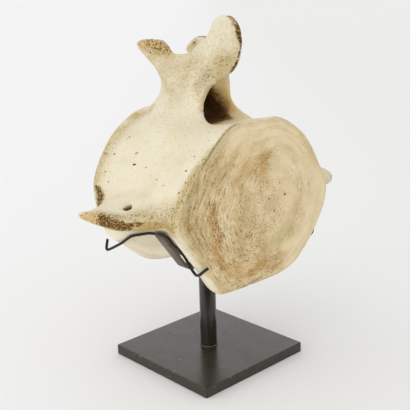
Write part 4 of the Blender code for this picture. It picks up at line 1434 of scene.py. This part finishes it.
@dataclass(frozen=True)
class Post:
    """The round post with a weld bead at its foot and under the strap."""

    radius: float = 0.0125
    foot: float = 0.0152
    top: float = 0.1483
    points_round: int = 96
    bead_points: int = 180
    bead_sink: float = 0.0004        # how deep the bead's root lies in the post
    bead_height: float = 0.9         # its height over its spread
    foot_spread: float = 0.0017
    top_spread: float = 0.0020
    bead_gap: float = 0.0002         # the post stops this far from the plate and the strap
    slimmed: float = 0.997
    waver: float = 0.004

    def bead(self, height: float, up: int, spread: float, seed: int) -> Surface:
        """A rippled weld ring: r = post radius + spread cos(t), z = 0.9 spread sin(t)."""
        angle = np.linspace(0.0, 2 * math.pi, self.bead_points, endpoint=False)
        bow = np.linspace(0.0, math.pi / 2, 7)
        lump = 1 + 0.16 * np.sin(26 * angle + 1.5 * np.sin(3 * angle)) + 0.12 * np.sin(5 * angle + seed)
        rings = []
        for b in bow:
            reach = self.radius - self.bead_sink + spread * lump * math.cos(b)
            z = height + up * spread * lump * math.sin(b) * self.bead_height
            rings.append(np.stack([reach * np.cos(angle), reach * np.sin(angle), z], axis=1))
        inner = rings[-1].copy()
        inner[:, :2] *= 0.93
        low = rings[0].copy()
        low[:, :2] *= 0.75
        low[:, 2] = height
        return Surface.tube(np.array([low, *rings, inner]))

    def build(self) -> None:
        """Circles from the foot to the top, with weld beads at both ends."""
        finish = SteelFinish("satin_black_post_steel", "231b10", 0.20, gloss=0.7, unevenness=0.2, dust=0.0)
        z = np.linspace(self.foot, self.top, 40)
        circle = round_profile(1.0, self.points_round)
        rings = np.stack([np.column_stack([circle * self.radius, np.full(len(circle), h)]) for h in z])
        points = rings.reshape(-1, 3)
        points[:, :2] *= (1 + solid_noise(points, 0.022, 21) * self.waver)[:, None] * self.slimmed
        dressed("steel_post", Surface.tube(rings).mesh("steel_post"), finish.build(), "post")
        beads = Surface.joined([self.bead(self.foot - self.bead_gap, 1, self.foot_spread, 1),
                                self.bead(self.top + self.bead_gap, -1, self.top_spread, 4)])
        dressed("post_weld_beads", beads.mesh("post_weld_beads"),
                SteelFinish("black_weld_bead", "302b25", 0.34, rust=0.35, dust=1.0).build())


@dataclass(frozen=True)
class Cradle:
    """The bent flat bar and the two wires that the bone lies in."""

    width: float = 0.020
    thickness: float = 0.004
    middle_z: float = 0.1505
    flat_half: float = 0.0435
    slope: float = math.radians(53.4)
    end_z: float = 0.2114
    bend: float = 0.008
    wire_radius: float = 0.0020
    blob_radius: float = 0.0026
    blob_points: int = 24
    blob_line: tuple = ((-0.0912, -0.0095, 0.2126), (-0.0907, 0.0090, 0.2116))
    # x, y, z in millimetres, rear end first
    left_route: tuple = (
        (-106.0, -116.0, 195.5), (-105.5, -106.0, 188.0), (-104.5, -98.0, 181.5), (-103.5, -92.5, 179.5),
        (-101.0, -85.0, 179.0), (-99.0, -73.0, 186.5), (-96.8, -61.3, 195.5), (-95.8, -49.0, 202.5),
        (-94.5, -35.0, 206.8), (-93.0, -25.0, 212.2), (-91.2, -12.5, 213.7), (-90.5, 0.0, 212.8),
        (-91.5, 8.0, 212.2), (-94.5, 16.0, 211.5), (-98.5, 29.0, 208.0), (-104.5, 43.0, 203.5),
        (-105.5, 63.5, 190.0), (-105.8, 81.0, 180.0), (-105.5, 97.5, 171.5), (-106.0, 101.5, 171.0),
        (-106.0, 102.2, 174.5), (-106.0, 98.5, 187.5))
    right_route: tuple = (
        (131.0, -90.0, 198.5), (128.5, -94.5, 193.0), (125.0, -99.0, 188.0), (120.5, -98.5, 183.0),
        (114.5, -92.5, 177.5), (108.0, -82.0, 174.0), (103.0, -69.0, 180.0), (99.5, -54.0, 192.5),
        (96.0, -38.0, 205.0), (93.5, -26.5, 211.0), (91.2, -12.5, 213.7), (90.5, 0.0, 212.8),
        (91.5, 8.0, 212.2), (94.5, 16.0, 211.0), (99.0, 29.0, 206.5), (105.0, 43.0, 201.5),
        (106.0, 63.5, 188.5), (106.0, 81.0, 179.5), (105.5, 97.5, 171.5), (106.0, 101.5, 171.0),
        (106.0, 102.2, 174.5), (106.0, 98.5, 187.5))

    def strap_path(self) -> np.ndarray:
        """Middle line of the bar: a flat, two circular bends and two slopes, 1.5 mm apart."""
        reach = self.flat_half + (self.end_z - self.middle_z) / math.tan(self.slope)
        corner = np.array([self.flat_half, self.middle_z])
        up = np.array([math.cos(self.slope), math.sin(self.slope)])
        start, stop = corner - (self.bend, 0.0), corner + up * self.bend
        t = np.linspace(0.0, 1.0, 14)[:, None]
        arc = (1 - t) ** 2 * start + 2 * t * (1 - t) * corner + t ** 2 * stop
        end = np.array([reach, self.end_z])
        slope = stop + np.linspace(0.0, 1.0, 40)[1:, None] * (end - stop)
        flat = np.column_stack([np.linspace(0.0, start[0], 24)[:-1], np.full(23, self.middle_z)])
        half = np.vstack([flat, arc, slope])
        whole = np.vstack([half[:0:-1] * (-1, 1), half])
        return np.column_stack([whole[:, 0], np.zeros(len(whole)), whole[:, 1]])

    def build(self) -> None:
        """Sweep the bar and the wires, and lay the weld beads where they meet."""
        strap = swept(self.strap_path(), bar_profile(self.width, self.thickness, 0.0009), (0.0, 1.0, 0.0))
        # the strap's black paint has a pale grey-brown base colour, painted light and sheen on its face
        dressed("steel_strap", Surface.tube(strap).mesh("steel_strap"),
                SteelFinish("satin_black_strap_steel", "80705a", 0.42, gloss=0.4).build(),
                "cradle_strap")
        weld = SteelFinish("rust_touched_weld", "2c2620", 0.5, rust=0.8).build()
        for side, route in ((Side.LEFT, self.left_route), (Side.RIGHT, self.right_route)):
            word = side.name.lower()
            path, size = rounded_ends(smooth_rows(np.array(route) * MM, 8), self.wire_radius, 0.5)
            wire = swept(path, round_profile(self.wire_radius, 20), (1.0, 0.0, 0.0), size)
            points = wire.reshape(-1, 3)
            points += (solid_noise(points, 0.011, 31) * 0.00012)[:, None]
            name = f"steel_wire_{word}"
            dressed(name, Surface.tube(wire).mesh(name),
                    SteelFinish(f"satin_black_{word}_wire_steel", "261c10", 0.34, gloss=0.15).build(),
                    f"cradle_wire_{word}")
            dressed(f"weld_blob_{word}", self.weld_blob(side).mesh(f"weld_blob_{word}"), weld)

    def weld_blob(self, side: Side) -> Surface:
        """A lumpy seam of weld along the wire where it lies on the bar's end.

        Rings of radius sqrt(sin) round the wire's line, each point pushed by noise.
        """
        count = self.blob_points
        path = np.linspace(*self.blob_line, count)
        swell = np.sqrt(np.sin(np.linspace(0.0, math.pi, count + 2)[1:-1]))
        rings = swept(path, round_profile(self.blob_radius, count), (1.0, 0.0, 0.0), swell)
        points = rings.reshape(-1, 3)
        centre = np.repeat(path, count, axis=0)
        lump = 1 + 0.22 * solid_noise(points, 0.0035, 41) + 0.12 * solid_noise(points, 0.0015, 42)
        points = centre + (points - centre) * lump[:, None]
        points[:, 0] *= -side.value
        return Surface.tube(points.reshape(rings.shape))


# ------------------------------------------------------------------------- studio
@dataclass(frozen=True)
class Studio:
    """Pale floor, soft light and the camera at the photograph's angle."""

    camera_place: tuple = (-0.7611, -0.8169, 0.5549)
    yaw: float = math.radians(42.98)
    pitch: float = math.radians(15.97)
    roll: float = math.radians(-1.63)
    focal_pixels: float = 797.7
    frame_pixels: float = 410.0
    sensor: float = 36.0
    floor_reach: tuple = (0.2, 1.0, 5.0, 20.0, 80.0)
    paper_gap: float = 0.0002       # the floor lies this far below the plate, and the card above
    # the floor's two colours, between which its painted light falls off away from the window
    floor_painted_falloff: tuple = ("efefef", "e8e8e7")
    card_paper: tuple = ("15140f", "1f1c16")
    # the card's corners: distance towards the camera and width
    card_corners: tuple = ((0.19, -0.20), (0.19, 0.20), (0.9, 0.95), (0.9, -0.95))
    # the room's brightness: a direction, the range of nearness to it, from -1 for the opposite
    # to 1 for straight on, and the values at the two ends of that range
    window: tuple = ((-0.95, 0.0, 0.30), (-0.6, 1.0, 0.79, 1.20))
    wall: tuple = ((0.66, 0.70, 0.28), (0.84, 1.0, 0.0, 0.46))
    shade: tuple = ((-0.67, -0.72, 0.18), (0.84, 0.98, 1.0, 0.25))
    sun_energy: float = 0.32
    sun_spread: float = math.radians(60)
    reflector_energy: float = 1.55
    reflector_size: float = 0.6
    reflector_place: tuple = (-0.62, -0.22, 0.04)
    reflector_aim: tuple = (-0.06, 0.0, 0.20)

    def camera(self) -> None:
        """Place the camera: forward from yaw and pitch, then rolled about its axis."""
        forward = Vector((math.sin(self.yaw) * math.cos(self.pitch),
                          math.cos(self.yaw) * math.cos(self.pitch), -math.sin(self.pitch)))
        level = Vector((math.cos(self.yaw), -math.sin(self.yaw), 0.0))
        up = level.cross(forward)
        right = math.cos(self.roll) * level + math.sin(self.roll) * up
        above = -math.sin(self.roll) * level + math.cos(self.roll) * up
        turn = Matrix((right, above, -forward)).transposed()
        lens = bpy.data.cameras.new("camera")
        lens.sensor_width = self.sensor
        lens.lens = self.sensor * self.focal_pixels / self.frame_pixels
        lens.clip_end = 200.0
        camera = new_object("camera", lens)
        camera.matrix_world = Matrix.Translation(self.camera_place) @ turn.to_4x4()
        bpy.context.scene.camera = camera

    def floor(self) -> None:
        """A very wide disc: rings of points at growing distance."""
        count = 64
        circle, level = round_profile(1.0, count), np.full(count, -self.paper_gap)
        rings = [np.column_stack([circle * reach, level]) for reach in self.floor_reach]
        surface = Surface.tube(np.stack(rings))
        surface.triangles = surface.triangles[:count, ::-1]
        floor = new_object("studio_floor", surface.mesh("studio_floor"))
        # painted light: the paper's colour falls off a little in brightness away from the window
        material, add = new_material("pale_paper_sweep")
        across = add("VectorMath", add("TexCoord"), (0.731, -0.682, 0.0), operation="DOT_PRODUCT")
        paper = add("Mix", add("MapRange", across, -0.5, 0.6), *self.floor_painted_falloff, **COLOUR)
        feed_shader(material, Base_Color=paper, Roughness=0.9, Specular_IOR_Level=0.1)
        floor.data.materials.append(material)

    def card(self) -> None:
        """A dark card on the floor below the picture, mirrored by the steel only.

        It gives the post its dark middle between two paler edges.
        """
        ahead = np.array([math.sin(self.yaw), math.cos(self.yaw), 0.0])
        across = np.array([math.cos(self.yaw), -math.sin(self.yaw), 0.0])
        corners = [-d * ahead + w * across + (0.0, 0.0, self.paper_gap) for d, w in self.card_corners]
        mesh = bpy.data.meshes.new("studio_card")
        mesh.from_pydata([tuple(c) for c in corners], [], [(3, 2, 1, 0)])
        # soft black paper, a little uneven
        material, add = new_material("black_card_paper")
        paper = add("Mix", add("TexNoise", add("TexCoord"), per_metre(3)), *self.card_paper, **COLOUR)
        feed_shader(material, Base_Color=paper, Roughness=0.95)
        mesh.materials.append(material)
        card = new_object("studio_card", mesh)
        card.visible_camera = False
        card.visible_diffuse = False
        card.visible_shadow = False

    def room(self) -> None:
        """A pale room: strength = (window side + wall) * shade, each from the direction."""
        world = bpy.data.worlds.new("studio")
        world.use_nodes = True
        add = partial(add_node, world.node_tree)
        direction = add("TexCoord").node.outputs["Generated"]
        # a wide window on the left, the white wall behind, which the plate mirrors, and the
        # darker room behind the camera, which gives the steel its dark middle
        window, wall, shade = (
            add("MapRange", add("VectorMath", direction, towards, operation="DOT_PRODUCT"), *limits, **SOFT)
            for towards, limits in (self.window, self.wall, self.shade))
        glow = add("Math", add("Math", window, wall, operation="ADD"), shade, **TIMES)
        background = world.node_tree.nodes["Background"]
        plug(world.node_tree, glow, background.inputs["Strength"])
        background.inputs["Color"].default_value = (1.0, 1.0, 1.0, 1.0)
        bpy.context.scene.world = world

    def lights(self) -> None:
        """The window's soft sun, and a white reflector at the left that fills the underside."""
        sun = bpy.data.lights.new("window", "SUN")
        sun.energy = self.sun_energy
        sun.angle = self.sun_spread
        board = bpy.data.lights.new("reflector", "AREA")
        board.shape = "SQUARE"
        board.size = self.reflector_size
        board.energy = self.reflector_energy
        place = Vector(self.reflector_place)
        lamp, fill = new_object("window", sun), new_object("reflector", board)
        for light, back in ((lamp, Vector((-1.0, -0.7, 0.7))), (fill, place - Vector(self.reflector_aim))):
            light.rotation_mode = "QUATERNION"
            light.rotation_quaternion = back.to_track_quat("Z", "Y")
        fill.location = place
        fill.visible_camera = False
        # the reflector lights the object but leaves no pool of light on the floor
        lit = bpy.data.collections.new("lit_by_reflector")
        for piece in bpy.data.objects:
            if piece.type == "MESH" and not piece.name.startswith("studio"):
                lit.objects.link(piece)
        fill.light_linking.receiver_collection = lit

    def build(self) -> None:
        """Set up the whole studio."""
        self.floor()
        self.card()
        self.room()
        self.lights()
        self.camera()
        bpy.context.scene.view_settings.view_transform = "Standard"


def main() -> None:
    """Build the bone, the stand and the studio, and report each piece."""
    logging.basicConfig(level=logging.INFO, format="%(name)s: %(message)s")
    Vertebra().build()
    BasePlate().build()
    Post().build()
    Cradle().build()
    Studio().build()


if __name__ == "__main__":
    main()
